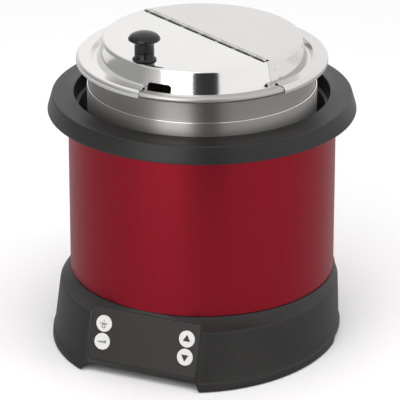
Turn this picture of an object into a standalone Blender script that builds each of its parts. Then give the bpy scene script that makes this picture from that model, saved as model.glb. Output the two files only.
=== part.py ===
"""Countertop induction soup kettle: moulded base, painted sleeve, lift-out inset and hinged lid.

Metres, +Z up, front towards -Y. The origin is on the sleeve's axis, on the surface the feet stand on.
"""

from math import cos, pi, radians, sin

import bmesh
import bpy
from mathutils import Matrix, Vector

MM = 0.001
OBJECT = "soup_kettle"
CUTTERS = "cutters"

# Overall sizes
SLEEVE_RADIUS = 128.45 * MM
SLEEVE_WALL = 1.2 * MM
BASE_HEIGHT = 64.7 * MM
SLEEVE_VISIBLE_HEIGHT = 162.1 * MM
INSET_RIM_ABOVE_RING = 34.8 * MM
INSET_NECK_RADIUS = 108.3 * MM

# Clearances
FIT = 0.3 * MM
SLIDE_FIT = 0.35 * MM
DRILL_PAST = 4.0 * MM
THROUGH = 40.0 * MM

# Base housing
BASE_WALL = 3.0 * MM
SKIRT_OFF_TABLE = 1.0 * MM
SHOULDER_DROP = 9.0 * MM
SHOULDER_OVERHANG = 4.0 * MM
SHOULDER_BULGE = 15.0 * MM
SHOULDER_ROUNDING = 2.4 * MM
FOOT_OVERHANG = 5.4 * MM
FOOT_BULGE = 29.0 * MM
FOOT_BAND_HEIGHT = 8.5 * MM
FOOT_BAND_STEP = 1.2 * MM
FOOT_BAND_EDGE = 0.5 * MM
COLLAR_STEP = 1.1 * MM
COLLAR_EDGE = 0.5 * MM
DECK_THICKNESS = 6.0 * MM
SPIGOT_HEIGHT = 7.0 * MM
SPIGOT_WALL = 2.8 * MM
BULGE_POWER = 3

# Front panel
PANEL_TILT = radians(16.3)
PANEL_TOP_BACK = 0.55 * MM
PANEL_TOP_DROP = 3.2 * MM
PANEL_HALF_WIDTH = 57.0 * MM
PANEL_SIDE_RUN = 6.5
PANEL_SIDE_RISE = 4.0
OVERLAY_THICKNESS = 1.0 * MM
OVERLAY_HALF_WIDTH = 55.8 * MM
OVERLAY_LENGTH = 51.0 * MM
OVERLAY_CORNER = 3.0 * MM
BUTTON_RADIUS = 8.1 * MM
BUTTON_GAP = 1.2 * MM
BUTTON_COLUMN = 43.0 * MM
BUTTON_ROW_DOWN = 15.4 * MM
BUTTON_PROUD = 0.7 * MM
BUTTON_EDGE = 0.6 * MM
BUTTON_THICKNESS = 3.6 * MM
BUTTON_STEM_RADIUS = 2.6 * MM
BUTTON_TRAVEL = 0.8 * MM
DISPLAY_SIZE = (38.0 * MM, 16.0 * MM, 8.5 * MM)
CONTROL_BOARD_SIZE = (104.0 * MM, 40.0 * MM, 1.6 * MM)
CONTROL_BOARD_BEHIND = 13.0 * MM
CONTROL_BOARD_RAISED = 2.0 * MM

# Openings in the base's lower edge
FRONT_ARCH_HEIGHT = 7.5 * MM
FRONT_ARCH_SLOPE = 5.0 * MM
SIDE_ARCH_HEIGHT = 6.0 * MM
SIDE_ARCH_FRONT = 9.0 * MM
SIDE_ARCH_LENGTH = 78.0 * MM

# Base plate, feet and screws
PLATE_THICKNESS = 2.0 * MM
PLATE_OVER_ARCH = 0.5 * MM
FOOT_RADIUS = 11.0 * MM
FOOT_TOP_RADIUS = 9.4 * MM
FOOT_EDGE = 1.2 * MM
FOOT_CIRCLE = 100.0 * MM
FOOT_ANGLE = radians(52)
POST_CIRCLE = 119.5 * MM
POST_RADIUS = 4.2 * MM
POST_ANGLE = radians(45)
SCREW_RADIUS = 1.8 * MM
SCREW_HEAD_RADIUS = 3.4 * MM
SCREW_FACE_RADIUS = 2.7 * MM
SCREW_HEAD_HEIGHT = 2.0 * MM
SCREW_GRIP = 12.0 * MM
VENT_SLOT = (36.0 * MM, 3.0 * MM)
VENT_PITCH = 7.0 * MM
VENT_COUNT = 6

# Cord inlet
GLAND_HEIGHT = 30.0 * MM
GLAND_HOLE_RADIUS = 8.0 * MM
GLAND_FLANGE_RADIUS = 11.5 * MM
GLAND_FLANGE = 2.5 * MM
GLAND_BORE_RADIUS = 4.2 * MM
GLAND_INSIDE = 6.0 * MM
GLAND_EDGE = 1.0 * MM
GLAND_NUT_RADIUS = 10.0 * MM

# Heating parts
COVER_RADIUS = 117.2 * MM
COVER_THICKNESS = 4.0 * MM
COVER_SHELF = 12.0 * MM
COVER_EDGE = 0.8 * MM
BOBBIN_RADIUS = 111.0 * MM
BOBBIN_PAN_RADIUS = 98.0 * MM
BOBBIN_DEPTH = 8.0 * MM
BOBBIN_WALL = 2.0 * MM
BOBBIN_HOLE_RADIUS = 12.0 * MM
COIL_INNER_RADIUS = 22.0 * MM
COIL_OUTER_RADIUS = 92.0 * MM
COIL_THICKNESS = 4.0 * MM
FERRITE_SIZE = (58.0 * MM, 12.0 * MM, 4.0 * MM)
FERRITE_COUNT = 6
SENSOR_RADIUS = 6.0 * MM
SENSOR_TIP_RADIUS = 4.8 * MM
SENSOR_TIP = 1.5 * MM
SENSOR_COLLAR_RADIUS = 15.0 * MM
FAN_SIZE = 60.0 * MM
FAN_THICKNESS = 15.0 * MM
FAN_PLACE = (46.0 * MM, 34.0 * MM)
FAN_BORE_RADIUS = 27.5 * MM
FAN_HUB_RADIUS = 11.0 * MM
FAN_SEAT_RADIUS = 8.8 * MM
FAN_EDGE = 1.0 * MM
FAN_CORNER = 2.0 * MM
FAN_STRUT = (3.0 * MM, 2.0 * MM)
FAN_STRUT_COUNT = 3
FAN_TIP_GAP = 1.2 * MM
FAN_BLADE = (10.0 * MM, 1.2 * MM)
FAN_BLADE_ROOT = 1.5 * MM
FAN_BLADE_COUNT = 7
FAN_BLADE_TILT = radians(38)
FAN_SHAFT_RADIUS = 1.5 * MM
FAN_SHAFT_LENGTH = 9.0 * MM
POWER_BOARD_SIZE = (80.0 * MM, 96.0 * MM, 1.6 * MM)
POWER_BOARD_PLACE = (-38.0 * MM, 22.0 * MM)
POWER_BOARD_LIFT = 5.0 * MM
STANDOFF_RADIUS = 3.0 * MM
STANDOFF_INSET = 6.0 * MM
HEAT_SINK_SIZE = (46.0 * MM, 60.0 * MM, 22.0 * MM)
HEAT_SINK_FINS = 6
HEAT_SINK_FLOOR = 4.0 * MM
HEAT_SINK_FIN = 2.5 * MM

# Top ring and well
RING_LOW_RADIUS = 148.0 * MM
RING_CREASE_RADIUS = 144.0 * MM
RING_SKIRT_HEIGHT = 16.4 * MM
RING_BEVEL_RADIUS = 128.0 * MM
RING_INNER_RADIUS = 122.5 * MM
RING_INNER_RISE = 1.8 * MM
RING_WALL = 3.0 * MM
RING_EDGE = 1.2 * MM
RING_BEVEL_RISE = 0.3 * MM
RING_HEM = 1.5 * MM
RING_COLLAR_DROP = 1.0 * MM
LINER_RADIUS = 119.3 * MM
LINER_WALL = 1.2 * MM
LINER_EDGE = 0.5 * MM
LINER_LEDGE_DEPTH = 14.5 * MM
GASKET_WIDTH = 4.0 * MM

# Inset
PAN_WALL = 0.8 * MM
JACKET_WALL = 1.4 * MM
JACKET_FLOOR = 2.0 * MM
JACKET_BELOW_RIM = 24.6 * MM
INSET_CORNER = 10.0 * MM
RIM_TUBE_RADIUS = 3.0 * MM
RIM_OUT_OF_NECK = 7.6 * MM
RIM_BEND = 2.2 * MM
RIM_NECK = 4.0 * MM
RIM_SHEET = 0.6 * MM
RIM_CURL_END = -170
RIM_CURL_GAP = 0.4 * MM

# Lid
LID_ABOVE_RIM = 21.0 * MM
LID_SHEET = 0.9 * MM
LID_TOP_INSET = 16.3 * MM
LID_CORNER = 4.0 * MM
LID_SKIRT_FLARE = 4.0 * MM
LID_CHANNEL_WIDTH = 4.0 * MM
LID_CHANNEL_DROP = 1.2 * MM
LID_LIP_DROP = 2.2 * MM
LID_NECK_FIT = 1.5 * MM
HINGE_AZIMUTH = radians(-28)
HINGE_BACK = 3.0 * MM
HINGE_END_INSET = 1.0 * MM
BARREL_RADIUS = 2.1 * MM
BARREL_LIFT = 0.7 * MM
BARREL_ROOM = 0.4 * MM
BARREL_END_ROOM = 1.5 * MM
TAB_INSIDE = 1.05 * MM
TAB_REACH = 1.4 * MM
TAB_SINK = 0.02 * MM
PIN_RADIUS = 0.9 * MM
KNUCKLE_COUNT = 14
NOTCH_WIDTH = 24.0 * MM
NOTCH_TOP_WIDTH = 18.0 * MM
NOTCH_HEIGHT = 6.5 * MM
KNOB_AZIMUTH = radians(-16)
KNOB_INSET = 8.0 * MM
KNOB_FOOT_RADIUS = 11.4 * MM
KNOB_STEM_RADIUS = 9.3 * MM
KNOB_CAP_RADIUS = 15.2 * MM
KNOB_SPLIT = 8.0 * MM
KNOB_CAP_UNDER = 17.0 * MM
KNOB_CAP_WIDEST = 20.5 * MM
KNOB_HEIGHT = 27.0 * MM
KNOB_SCREW_RADIUS = 2.0 * MM
KNOB_SCREW_GRIP = 7.0 * MM
KNOB_SCREW_HEAD = 1.6 * MM
KNOB_FOOT_HEIGHT = 1.2 * MM
KNOB_FLARE_HEIGHT = 2.6 * MM
KNOB_DOME = ((0.4, 0.5 * MM), (0.75, 2.2 * MM), (0.94, 4.9 * MM))
KNOB_UNDERCUT = (0.95, 1.2 * MM)

# Places that follow from the sizes above
SHOULDER_Z = BASE_HEIGHT - SHOULDER_DROP
RING_LOW_Z = BASE_HEIGHT + SLEEVE_VISIBLE_HEIGHT
RING_CREASE_Z = RING_LOW_Z + RING_SKIRT_HEIGHT
RING_INNER_Z = RING_CREASE_Z + RING_INNER_RISE
RIM_Z = RING_CREASE_Z + INSET_RIM_ABOVE_RING
JACKET_TOP_Z = RIM_Z - JACKET_BELOW_RIM
NECK_TOP_Z = RIM_Z - RIM_NECK
LID_TOP_Z = RIM_Z + LID_ABOVE_RIM
PLATE_LOW_Z = FRONT_ARCH_HEIGHT + PLATE_OVER_ARCH
PLATE_TOP_Z = PLATE_LOW_Z + PLATE_THICKNESS
SHELF_TOP_Z = BASE_HEIGHT - DECK_THICKNESS / 2
DECK_LOW_Z = BASE_HEIGHT - DECK_THICKNESS
COVER_LOW_Z = SHELF_TOP_Z + FIT
COVER_TOP_Z = COVER_LOW_Z + COVER_THICKNESS
INSET_LOW_Z = COVER_TOP_Z + FIT
COLLAR_RADIUS = SLEEVE_RADIUS + COLLAR_STEP
PANEL_TOP_Z = BASE_HEIGHT - PANEL_TOP_DROP
PANEL_TOP_Y = -(SLEEVE_RADIUS + PANEL_TOP_BACK)
RIM_TUBE_CIRCLE = INSET_NECK_RADIUS + RIM_OUT_OF_NECK
LID_TOP_RADIUS = INSET_NECK_RADIUS - LID_TOP_INSET
HINGE_HALF_LENGTH = LID_TOP_RADIUS - HINGE_END_INSET
KNOB_CIRCLE = LID_TOP_RADIUS - KNOB_INSET
BUTTON_PITCH = 2 * BUTTON_RADIUS + BUTTON_GAP

# Sides of a turned shape, the same on all the large ones so that their facets line up
ROUND = 40
SMALL_ROUND = 20
SCREW_ROUND = 14
KNUCKLE_ROUND = 8


def clear_scene():
    for obj in list(bpy.data.objects):
        bpy.data.objects.remove(obj, do_unlink=True)
    for collection in list(bpy.data.collections):
        bpy.data.collections.remove(collection)


def make_collection(name):
    collection = bpy.data.collections.new(name)
    bpy.context.scene.collection.children.link(collection)
    return collection


def make_material(name, colour, roughness, metallic=0.0):
    material = bpy.data.materials.new(name)
    material.use_nodes = True
    shader = material.node_tree.nodes["Principled BSDF"]
    shader.inputs["Base Color"].default_value = (*colour, 1.0)
    shader.inputs["Roughness"].default_value = roughness
    shader.inputs["Metallic"].default_value = metallic
    return material


def add_object(name, mesh, material=None, cutter=False):
    obj = bpy.data.objects.new(name, mesh)
    bpy.data.collections[CUTTERS if cutter else OBJECT].objects.link(obj)
    if material:
        mesh.materials.append(material)
    if cutter:
        obj.hide_render = True
        obj.display_type = "WIRE"
    return obj


def mesh_from(bm, name):
    mesh = bpy.data.meshes.new(name)
    bm.to_mesh(mesh)
    bm.free()
    return mesh


def turned(name, profile, material=None, steps=ROUND, cutter=False):
    """A turned shape: (radius, height) points down the outer side. Ends on the axis leave it open there."""
    bm = bmesh.new()
    points = [bm.verts.new((radius, 0, height)) for radius, height in profile]
    open_on_axis = profile[0][0] == 0 and profile[-1][0] == 0
    pairs = zip(points, points[1:] if open_on_axis else points[1:] + points[:1])
    for first, second in pairs:
        bm.edges.new((first, second))
    obj = add_object(name, mesh_from(bm, name), material, cutter)
    screw = obj.modifiers.new("Turn", "SCREW")
    screw.steps = screw.render_steps = steps
    screw.use_smooth_shade = True
    screw.use_merge_vertices = True
    screw.merge_threshold = 0.0001
    return obj


def box(name, size, centre=(0, 0, 0), material=None, cutter=False, bevel=0.0):
    bm = bmesh.new()
    bmesh.ops.create_cube(bm, size=1.0)
    bmesh.ops.scale(bm, vec=Vector(size), verts=bm.verts)
    obj = add_object(name, mesh_from(bm, name), material, cutter)
    obj.location = centre
    if bevel:
        add_bevel(obj, bevel)
    return obj


def cylinder(name, radius, length, centre=(0, 0, 0), material=None, cutter=False, steps=SMALL_ROUND):
    bm = bmesh.new()
    bmesh.ops.create_cone(
        bm, cap_ends=True, segments=steps, radius1=radius, radius2=radius, depth=length
    )
    obj = add_object(name, mesh_from(bm, name), material, cutter)
    obj.location = centre
    return obj


def prism(name, outline, length, material=None, cutter=False):
    """A flat outline in the XY plane, drawn anticlockwise, extruded up by its length from Z = 0."""
    bm = bmesh.new()
    face = bm.faces.new([bm.verts.new((x, y, 0)) for x, y in outline])
    grown = bmesh.ops.extrude_face_region(bm, geom=[face])["geom"]
    top = [item for item in grown if isinstance(item, bmesh.types.BMVert)]
    bmesh.ops.translate(bm, vec=(0, 0, length), verts=top)
    bmesh.ops.recalc_face_normals(bm, faces=bm.faces)
    return add_object(name, mesh_from(bm, name), material, cutter)


def add_bevel(obj, width, segments=1):
    bevel = obj.modifiers.new("Rounded edges", "BEVEL")
    bevel.width = width
    bevel.segments = segments
    bevel.limit_method = "ANGLE"


def boolean(obj, other, operation):
    modifier = obj.modifiers.new(f"{operation.title()} {other.name}", "BOOLEAN")
    modifier.operation = operation
    modifier.object = other


def cut(obj, *others):
    for other in others:
        boolean(obj, other, "DIFFERENCE")


def join(obj, *others):
    for other in others:
        boolean(obj, other, "UNION")


def use_manifold_solver(obj):
    """For closed bodies on which the exact solver drops a whole side of the result."""
    for modifier in obj.modifiers:
        if modifier.type == "BOOLEAN":
            modifier.solver = "MANIFOLD"


def arc(centre, radius, start, end, count):
    """Points round a centre in a profile's plane, with both ends, angles in degrees."""
    angles = [radians(start + (end - start) * i / count) for i in range(count + 1)]
    return [(centre[0] + radius * cos(a), centre[1] + radius * sin(a)) for a in angles]


def around(radius, azimuth, height=0.0):
    """A point at an azimuth measured from the front (-Y) towards +X."""
    return Vector((radius * sin(azimuth), -radius * cos(azimuth), height))


def base_radius(azimuth, height, inward=0.0):
    """The base's wall: round at the rear, and swelling forward more at the foot than at the shoulder."""
    low, high = SLEEVE_RADIUS + FOOT_OVERHANG, SLEEVE_RADIUS + SHOULDER_OVERHANG
    rise = min(max(height / SHOULDER_Z, 0.0), 1.0)
    swell = FOOT_BULGE + (SHOULDER_BULGE - FOOT_BULGE) * rise
    forward = ((1 + cos(azimuth)) / 2) ** BULGE_POWER
    return low + (high - low) * rise + swell * forward - inward


def loft(name, rings, cutter=False, material=None):
    """A closed solid through stacked rings of equal count, lowest first, capped at both ends."""
    bm = bmesh.new()
    rows = [[bm.verts.new(point) for point in ring] for ring in rings]
    for low, high in zip(rows, rows[1:]):
        for i in range(len(low)):
            j = (i + 1) % len(low)
            bm.faces.new((low[i], low[j], high[j], high[i]))
    bm.faces.new(rows[0][::-1])
    bm.faces.new(rows[-1])
    bmesh.ops.recalc_face_normals(bm, faces=bm.faces)
    return add_object(name, mesh_from(bm, name), material, cutter)


def base_ring(height, radius_at):
    return [
        around(radius_at(2 * pi * i / ROUND), 2 * pi * i / ROUND, height)
        for i in range(ROUND)
    ]


def base_outside(material):
    top, edge, step = FOOT_BAND_HEIGHT, FOOT_BAND_EDGE, FOOT_BAND_STEP
    rings = [
        base_ring(SKIRT_OFF_TABLE, lambda a: base_radius(a, 0, edge - step)),
        base_ring(top - 2 * edge, lambda a: base_radius(a, top, -step)),
        base_ring(top, lambda a: base_radius(a, top, edge - step)),
        base_ring(top + edge, lambda a: base_radius(a, top)),
    ]
    for turn in (0, 45, 90):
        drop = SHOULDER_ROUNDING * (1 - sin(radians(turn)))
        pull = SHOULDER_ROUNDING * (1 - cos(radians(turn))) / 2
        rings.append(base_ring(SHOULDER_Z - drop, lambda a, p=pull: base_radius(a, SHOULDER_Z, p)))
    rings.append(base_ring(BASE_HEIGHT - COLLAR_EDGE, lambda a: COLLAR_RADIUS + COLLAR_EDGE))
    rings.append(base_ring(BASE_HEIGHT, lambda a: COLLAR_RADIUS))
    return loft("base_housing", rings, material=material)


def base_core():
    """The hollow inside the housing's wall, open below."""
    rings = [
        base_ring(-DRILL_PAST, lambda a: base_radius(a, 0, BASE_WALL)),
        base_ring(FOOT_BAND_HEIGHT, lambda a: base_radius(a, FOOT_BAND_HEIGHT, BASE_WALL)),
        base_ring(SHOULDER_Z - BASE_WALL, lambda a: base_radius(a, SHOULDER_Z, BASE_WALL)),
        base_ring(DECK_LOW_Z, lambda a: COLLAR_RADIUS + SHOULDER_OVERHANG / 2 - BASE_WALL),
    ]
    return loft("base_core", rings, cutter=True)


def panel_frame(forward=0.0):
    """Panel coordinates: X across, Y up the slope, Z out of the face, from the top middle of the face."""
    lean = Matrix.Rotation(pi / 2 - PANEL_TILT, 4, "X")
    place = Matrix.Translation((0, PANEL_TOP_Y, PANEL_TOP_Z))
    return place @ lean @ Matrix.Translation((0, 0, forward))


def panel_cut(name, behind=0.0):
    """A cutter for all in front of the panel's face, or of a plane behind it, between sloping sides."""
    reach = SLEEVE_RADIUS / 2
    side = (reach + behind) * PANEL_SIDE_RUN / PANEL_SIDE_RISE
    half = PANEL_HALF_WIDTH + behind
    outline = [(-half, -behind), (-half - side, reach), (half + side, reach), (half, -behind)]
    drop = (BASE_HEIGHT + 4 * DRILL_PAST) / cos(PANEL_TILT)
    obj = prism(name, outline, drop, cutter=True)
    obj.matrix_world = panel_frame() @ Matrix.Rotation(pi / 2, 4, "X")
    return obj


def overlay_outline(grow):
    half, corner = OVERLAY_HALF_WIDTH + grow, OVERLAY_CORNER + grow
    top, bottom = grow, -OVERLAY_LENGTH - grow
    outline = []
    for x, y, start in (
        (half - corner, bottom + corner, -90),
        (half - corner, top - corner, 0),
        (corner - half, top - corner, 90),
        (corner - half, bottom + corner, 180),
    ):
        outline += arc((x, y), corner, start, start + 90, 3)
    return outline


def button_places():
    names = ("power_button", "mode_button", "up_button", "down_button")
    rows = (-BUTTON_ROW_DOWN, -BUTTON_ROW_DOWN - BUTTON_PITCH)
    columns = (-BUTTON_COLUMN, BUTTON_COLUMN)
    spots = [(x, y) for x in columns for y in rows]
    return dict(zip(names, spots))


def panel_hole(name, radius, spot, depth):
    hole = cylinder(name, radius, 2 * depth, cutter=True)
    hole.matrix_world = panel_frame() @ Matrix.Translation((*spot, 0))
    return hole


def wall_prism(name, outline, length, across, start):
    """A cutter with an outline of (along, height) points, run level along Y, or along X when across."""
    obj = prism(name, outline, length, cutter=True)
    if across:
        turn = Matrix(((0, 0, 1, 0), (1, 0, 0, 0), (0, 1, 0, 0), (0, 0, 0, 1)))
        obj.matrix_world = Matrix.Translation((start, 0, 0)) @ turn
    else:
        obj.matrix_world = Matrix.Translation((0, start, 0)) @ Matrix.Rotation(pi / 2, 4, "X")
    return obj


def arch_outline(low, high, height, slope):
    return [
        (low - slope, -DRILL_PAST),
        (high + slope, -DRILL_PAST),
        (high + slope, SKIRT_OFF_TABLE),
        (high, height),
        (low, height),
        (low - slope, SKIRT_OFF_TABLE),
    ]


def arch_cutters():
    """The raised stretches of the lower edge: one under the panel and one along each side."""
    half = PANEL_HALF_WIDTH
    front = arch_outline(-half, half, FRONT_ARCH_HEIGHT, FRONT_ARCH_SLOPE)
    side_end = SIDE_ARCH_FRONT + SIDE_ARCH_LENGTH
    side = arch_outline(SIDE_ARCH_FRONT, side_end, SIDE_ARCH_HEIGHT, SIDE_ARCH_HEIGHT)
    span = 4 * SLEEVE_RADIUS
    return (
        wall_prism("front_arch", front, SLEEVE_RADIUS, False, -SLEEVE_RADIUS / 2),
        wall_prism("side_arch", side, span, True, -span / 2),
    )


def post_places():
    turns = (POST_ANGLE, pi - POST_ANGLE, pi + POST_ANGLE, -POST_ANGLE)
    return [around(POST_CIRCLE, turn) for turn in turns]


def screw_hole(name, depth, place):
    return cylinder(name, SCREW_RADIUS + FIT, depth, place, cutter=True, steps=SCREW_ROUND)


def build_base_housing(material):
    housing = base_outside(material)
    core = base_core()
    face = panel_cut("panel_face_cut")
    pocket_depth = OVERLAY_THICKNESS + FIT
    cut(core, panel_cut("panel_core_cut", pocket_depth + BASE_WALL))
    pocket = prism("overlay_pocket", overlay_outline(FIT), 2 * pocket_depth, cutter=True)
    pocket.matrix_world = panel_frame(-pocket_depth)
    recess_middle = (0, 0, SHELF_TOP_Z + THROUGH / 2)
    recess = cylinder("cover_recess", COVER_RADIUS + FIT, THROUGH, recess_middle, cutter=True, steps=ROUND)
    throat_radius = COVER_RADIUS - COVER_SHELF
    throat = cylinder("well_throat", throat_radius, THROUGH, (0, 0, BASE_HEIGHT), cutter=True, steps=ROUND)
    outer = SLEEVE_RADIUS - SLEEVE_WALL - SLIDE_FIT
    spigot_profile = [
        (outer - SPIGOT_WALL, BASE_HEIGHT + SPIGOT_HEIGHT),
        (outer, BASE_HEIGHT + SPIGOT_HEIGHT),
        (outer, SHELF_TOP_Z),
        (outer - SPIGOT_WALL, SHELF_TOP_Z),
    ]
    spigot = turned("sleeve_spigot", spigot_profile, cutter=True)
    cut(housing, face, core, pocket)
    join(housing, spigot)
    cut(housing, recess, throat, *arch_cutters())
    low, high = PLATE_TOP_Z + FIT, (DECK_LOW_Z + SHELF_TOP_Z) / 2
    for i, place in enumerate(post_places()):
        post = cylinder(f"post_{i}", POST_RADIUS, high - low, place, cutter=True, steps=SCREW_ROUND)
        post.location.z = (low + high) / 2
        depth = SCREW_GRIP + 2 * FIT
        hole = screw_hole(f"post_hole_{i}", 2 * depth, place)
        hole.location.z = low
        join(housing, post)
        cut(housing, hole)
    for name, spot in button_places().items():
        cut(housing, panel_hole(f"{name}_hole", BUTTON_RADIUS + FIT, spot, THROUGH / 2))
    window_size = (DISPLAY_SIZE[0] + 2 * FIT, DISPLAY_SIZE[1] + 2 * FIT, THROUGH)
    window = box("display_window", window_size, cutter=True)
    window.matrix_world = panel_frame() @ Matrix.Translation((0, -OVERLAY_LENGTH / 2, 0))
    rear = (0, SLEEVE_RADIUS, GLAND_HEIGHT)
    rear_hole = cylinder("gland_hole", GLAND_HOLE_RADIUS + FIT, THROUGH, rear, cutter=True)
    rear_hole.rotation_euler = (pi / 2, 0, 0)
    cut(housing, window, rear_hole)
    use_manifold_solver(housing)
    return housing


def build_base_plate(material):
    """The sheet that closes the housing from below, with vent slots under the fan."""
    outline = [
        base_ring(height, lambda a: base_radius(a, PLATE_TOP_Z, BASE_WALL + FIT))
        for height in (PLATE_LOW_Z, PLATE_TOP_Z)
    ]
    plate = loft("base_plate", outline, material=material)
    cut(plate, panel_cut("plate_front_trim", OVERLAY_THICKNESS + BASE_WALL + 2 * FIT))
    for i, place in enumerate(post_places()):
        cut(plate, screw_hole(f"plate_hole_{i}", THROUGH, place))
    for i, offset in enumerate(row_of(VENT_COUNT, VENT_PITCH)):
        place = (FAN_PLACE[0], FAN_PLACE[1] + offset, 0)
        cut(plate, box(f"vent_{i}", (*VENT_SLOT, THROUGH), place, cutter=True))
    return plate


def row_of(count, pitch):
    return [(i - (count - 1) / 2) * pitch for i in range(count)]


def foot_places():
    turns = {"front_left": -FOOT_ANGLE, "front_right": FOOT_ANGLE}
    turns |= {"rear_left": FOOT_ANGLE - pi, "rear_right": pi - FOOT_ANGLE}
    return {name: around(FOOT_CIRCLE, turn) for name, turn in turns.items()}


def build_feet(material):
    top = PLATE_LOW_Z - FIT
    profile = [
        (0, top),
        (FOOT_TOP_RADIUS, top),
        (FOOT_RADIUS, FOOT_EDGE),
        (FOOT_RADIUS - FOOT_EDGE, 0),
        (0, 0),
    ]
    for name, place in foot_places().items():
        foot = turned(f"foot_{name}", profile, material, steps=SMALL_ROUND)
        foot.location = place


def build_base_screws(material):
    head_low = PLATE_LOW_Z - FIT - SCREW_HEAD_HEIGHT
    tip = PLATE_TOP_Z + FIT + SCREW_GRIP
    profile = [
        (0, tip),
        (SCREW_RADIUS, tip),
        (SCREW_RADIUS, PLATE_LOW_Z - FIT),
        (SCREW_HEAD_RADIUS, PLATE_LOW_Z - FIT),
        (SCREW_FACE_RADIUS, head_low),
        (0, head_low),
    ]
    for i, place in enumerate(post_places(), 1):
        screw = turned(f"base_screw_{i}", profile, material, steps=SCREW_ROUND)
        screw.location = place


def build_cord_gland(material):
    """The rear inlet: a flange outside the wall, a neck through it and a nut inside, bored for a cord."""
    wall = base_radius(pi, GLAND_HEIGHT)
    seat = wall + FIT
    nut = wall - BASE_WALL - GLAND_EDGE
    profile = [
        (GLAND_BORE_RADIUS, seat + GLAND_FLANGE),
        (GLAND_FLANGE_RADIUS - GLAND_EDGE, seat + GLAND_FLANGE),
        (GLAND_FLANGE_RADIUS, seat + GLAND_FLANGE / 2),
        (GLAND_FLANGE_RADIUS, seat),
        (GLAND_HOLE_RADIUS, seat),
        (GLAND_HOLE_RADIUS, nut),
        (GLAND_NUT_RADIUS, nut),
        (GLAND_NUT_RADIUS, nut - GLAND_INSIDE),
        (GLAND_BORE_RADIUS, nut - GLAND_INSIDE),
    ]
    gland = turned("cord_gland", profile, material, steps=SMALL_ROUND)
    gland.rotation_euler = (-pi / 2, 0, 0)
    gland.location = (0, 0, GLAND_HEIGHT)
    return gland


def build_overlay(material):
    overlay = prism("panel_overlay", overlay_outline(0), OVERLAY_THICKNESS, material)
    overlay.matrix_world = panel_frame(-OVERLAY_THICKNESS)
    for name, spot in button_places().items():
        cut(overlay, panel_hole(f"{name}_window", BUTTON_RADIUS + FIT, spot, THROUGH / 2))


def build_buttons(material):
    board_face = -CONTROL_BOARD_BEHIND
    for name, spot in button_places().items():
        profile = [
            (0, BUTTON_PROUD),
            (BUTTON_RADIUS - BUTTON_EDGE, BUTTON_PROUD),
            (BUTTON_RADIUS, BUTTON_PROUD - BUTTON_EDGE),
            (BUTTON_RADIUS, BUTTON_PROUD - BUTTON_THICKNESS),
            (BUTTON_STEM_RADIUS, BUTTON_PROUD - BUTTON_THICKNESS),
            (BUTTON_STEM_RADIUS, board_face + BUTTON_TRAVEL + 2 * FIT),
            (0, board_face + BUTTON_TRAVEL + 2 * FIT),
        ]
        button = turned(name, profile, material, steps=SMALL_ROUND)
        button.matrix_world = panel_frame() @ Matrix.Translation((*spot, 0))


def build_control_board(material):
    board = box("control_board", CONTROL_BOARD_SIZE, material=material)
    behind = CONTROL_BOARD_BEHIND + CONTROL_BOARD_SIZE[2] / 2
    middle = (0, CONTROL_BOARD_RAISED - OVERLAY_LENGTH / 2, -behind)
    board.matrix_world = panel_frame() @ Matrix.Translation(middle)


def build_display(material):
    display = box("display_module", DISPLAY_SIZE, material=material)
    behind = OVERLAY_THICKNESS + FIT + DISPLAY_SIZE[2] / 2
    display.matrix_world = panel_frame() @ Matrix.Translation((0, -OVERLAY_LENGTH / 2, -behind))


def build_coil_cover(material):
    profile = [
        (0, COVER_TOP_Z),
        (COVER_RADIUS - COVER_EDGE, COVER_TOP_Z),
        (COVER_RADIUS, COVER_TOP_Z - COVER_EDGE),
        (COVER_RADIUS, COVER_LOW_Z),
        (0, COVER_LOW_Z),
    ]
    return turned("coil_cover", profile, material)


def build_bobbin(material):
    """The shallow carrier that hangs under the deck and holds the winding close to the cover."""
    top = DECK_LOW_Z - FIT
    floor_top = top - BOBBIN_DEPTH + BOBBIN_WALL
    profile = [
        (BOBBIN_PAN_RADIUS, top),
        (BOBBIN_RADIUS, top),
        (BOBBIN_RADIUS, top - BOBBIN_WALL),
        (BOBBIN_PAN_RADIUS + BOBBIN_WALL, top - BOBBIN_WALL),
        (BOBBIN_PAN_RADIUS + BOBBIN_WALL, top - BOBBIN_DEPTH),
        (BOBBIN_HOLE_RADIUS, top - BOBBIN_DEPTH),
        (BOBBIN_HOLE_RADIUS, floor_top),
        (BOBBIN_PAN_RADIUS, floor_top),
    ]
    return turned("coil_bobbin", profile, material, steps=SMALL_ROUND)


def bobbin_floor_z():
    return DECK_LOW_Z - FIT - BOBBIN_DEPTH + BOBBIN_WALL


def build_coil(material):
    low = bobbin_floor_z() + FIT
    profile = [
        (COIL_INNER_RADIUS, low + COIL_THICKNESS),
        (COIL_OUTER_RADIUS, low + COIL_THICKNESS),
        (COIL_OUTER_RADIUS, low),
        (COIL_INNER_RADIUS, low),
    ]
    return turned("induction_coil", profile, material, steps=SMALL_ROUND)


def build_ferrites(material):
    length, width, height = FERRITE_SIZE
    z = bobbin_floor_z() - BOBBIN_WALL - FIT - height / 2
    for i in range(FERRITE_COUNT):
        turn = 2 * pi * i / FERRITE_COUNT
        place = around(COIL_INNER_RADIUS + length / 2, turn, z)
        bar = box(f"ferrite_bar_{i + 1}", (width, length, height), place, material)
        bar.rotation_euler.z = turn


def build_sensor(material):
    """The spring plunger that presses on the underside of the cover, through the middle of the bobbin."""
    top = COVER_LOW_Z - FIT
    collar = bobbin_floor_z() - BOBBIN_WALL - FIT
    profile = [
        (0, top),
        (SENSOR_TIP_RADIUS, top),
        (SENSOR_RADIUS, top - SENSOR_TIP),
        (SENSOR_RADIUS, collar),
        (SENSOR_COLLAR_RADIUS, collar),
        (SENSOR_COLLAR_RADIUS, collar - BOBBIN_WALL),
        (0, collar - BOBBIN_WALL),
    ]
    return turned("temperature_sensor", profile, material, steps=SMALL_ROUND)


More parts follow.
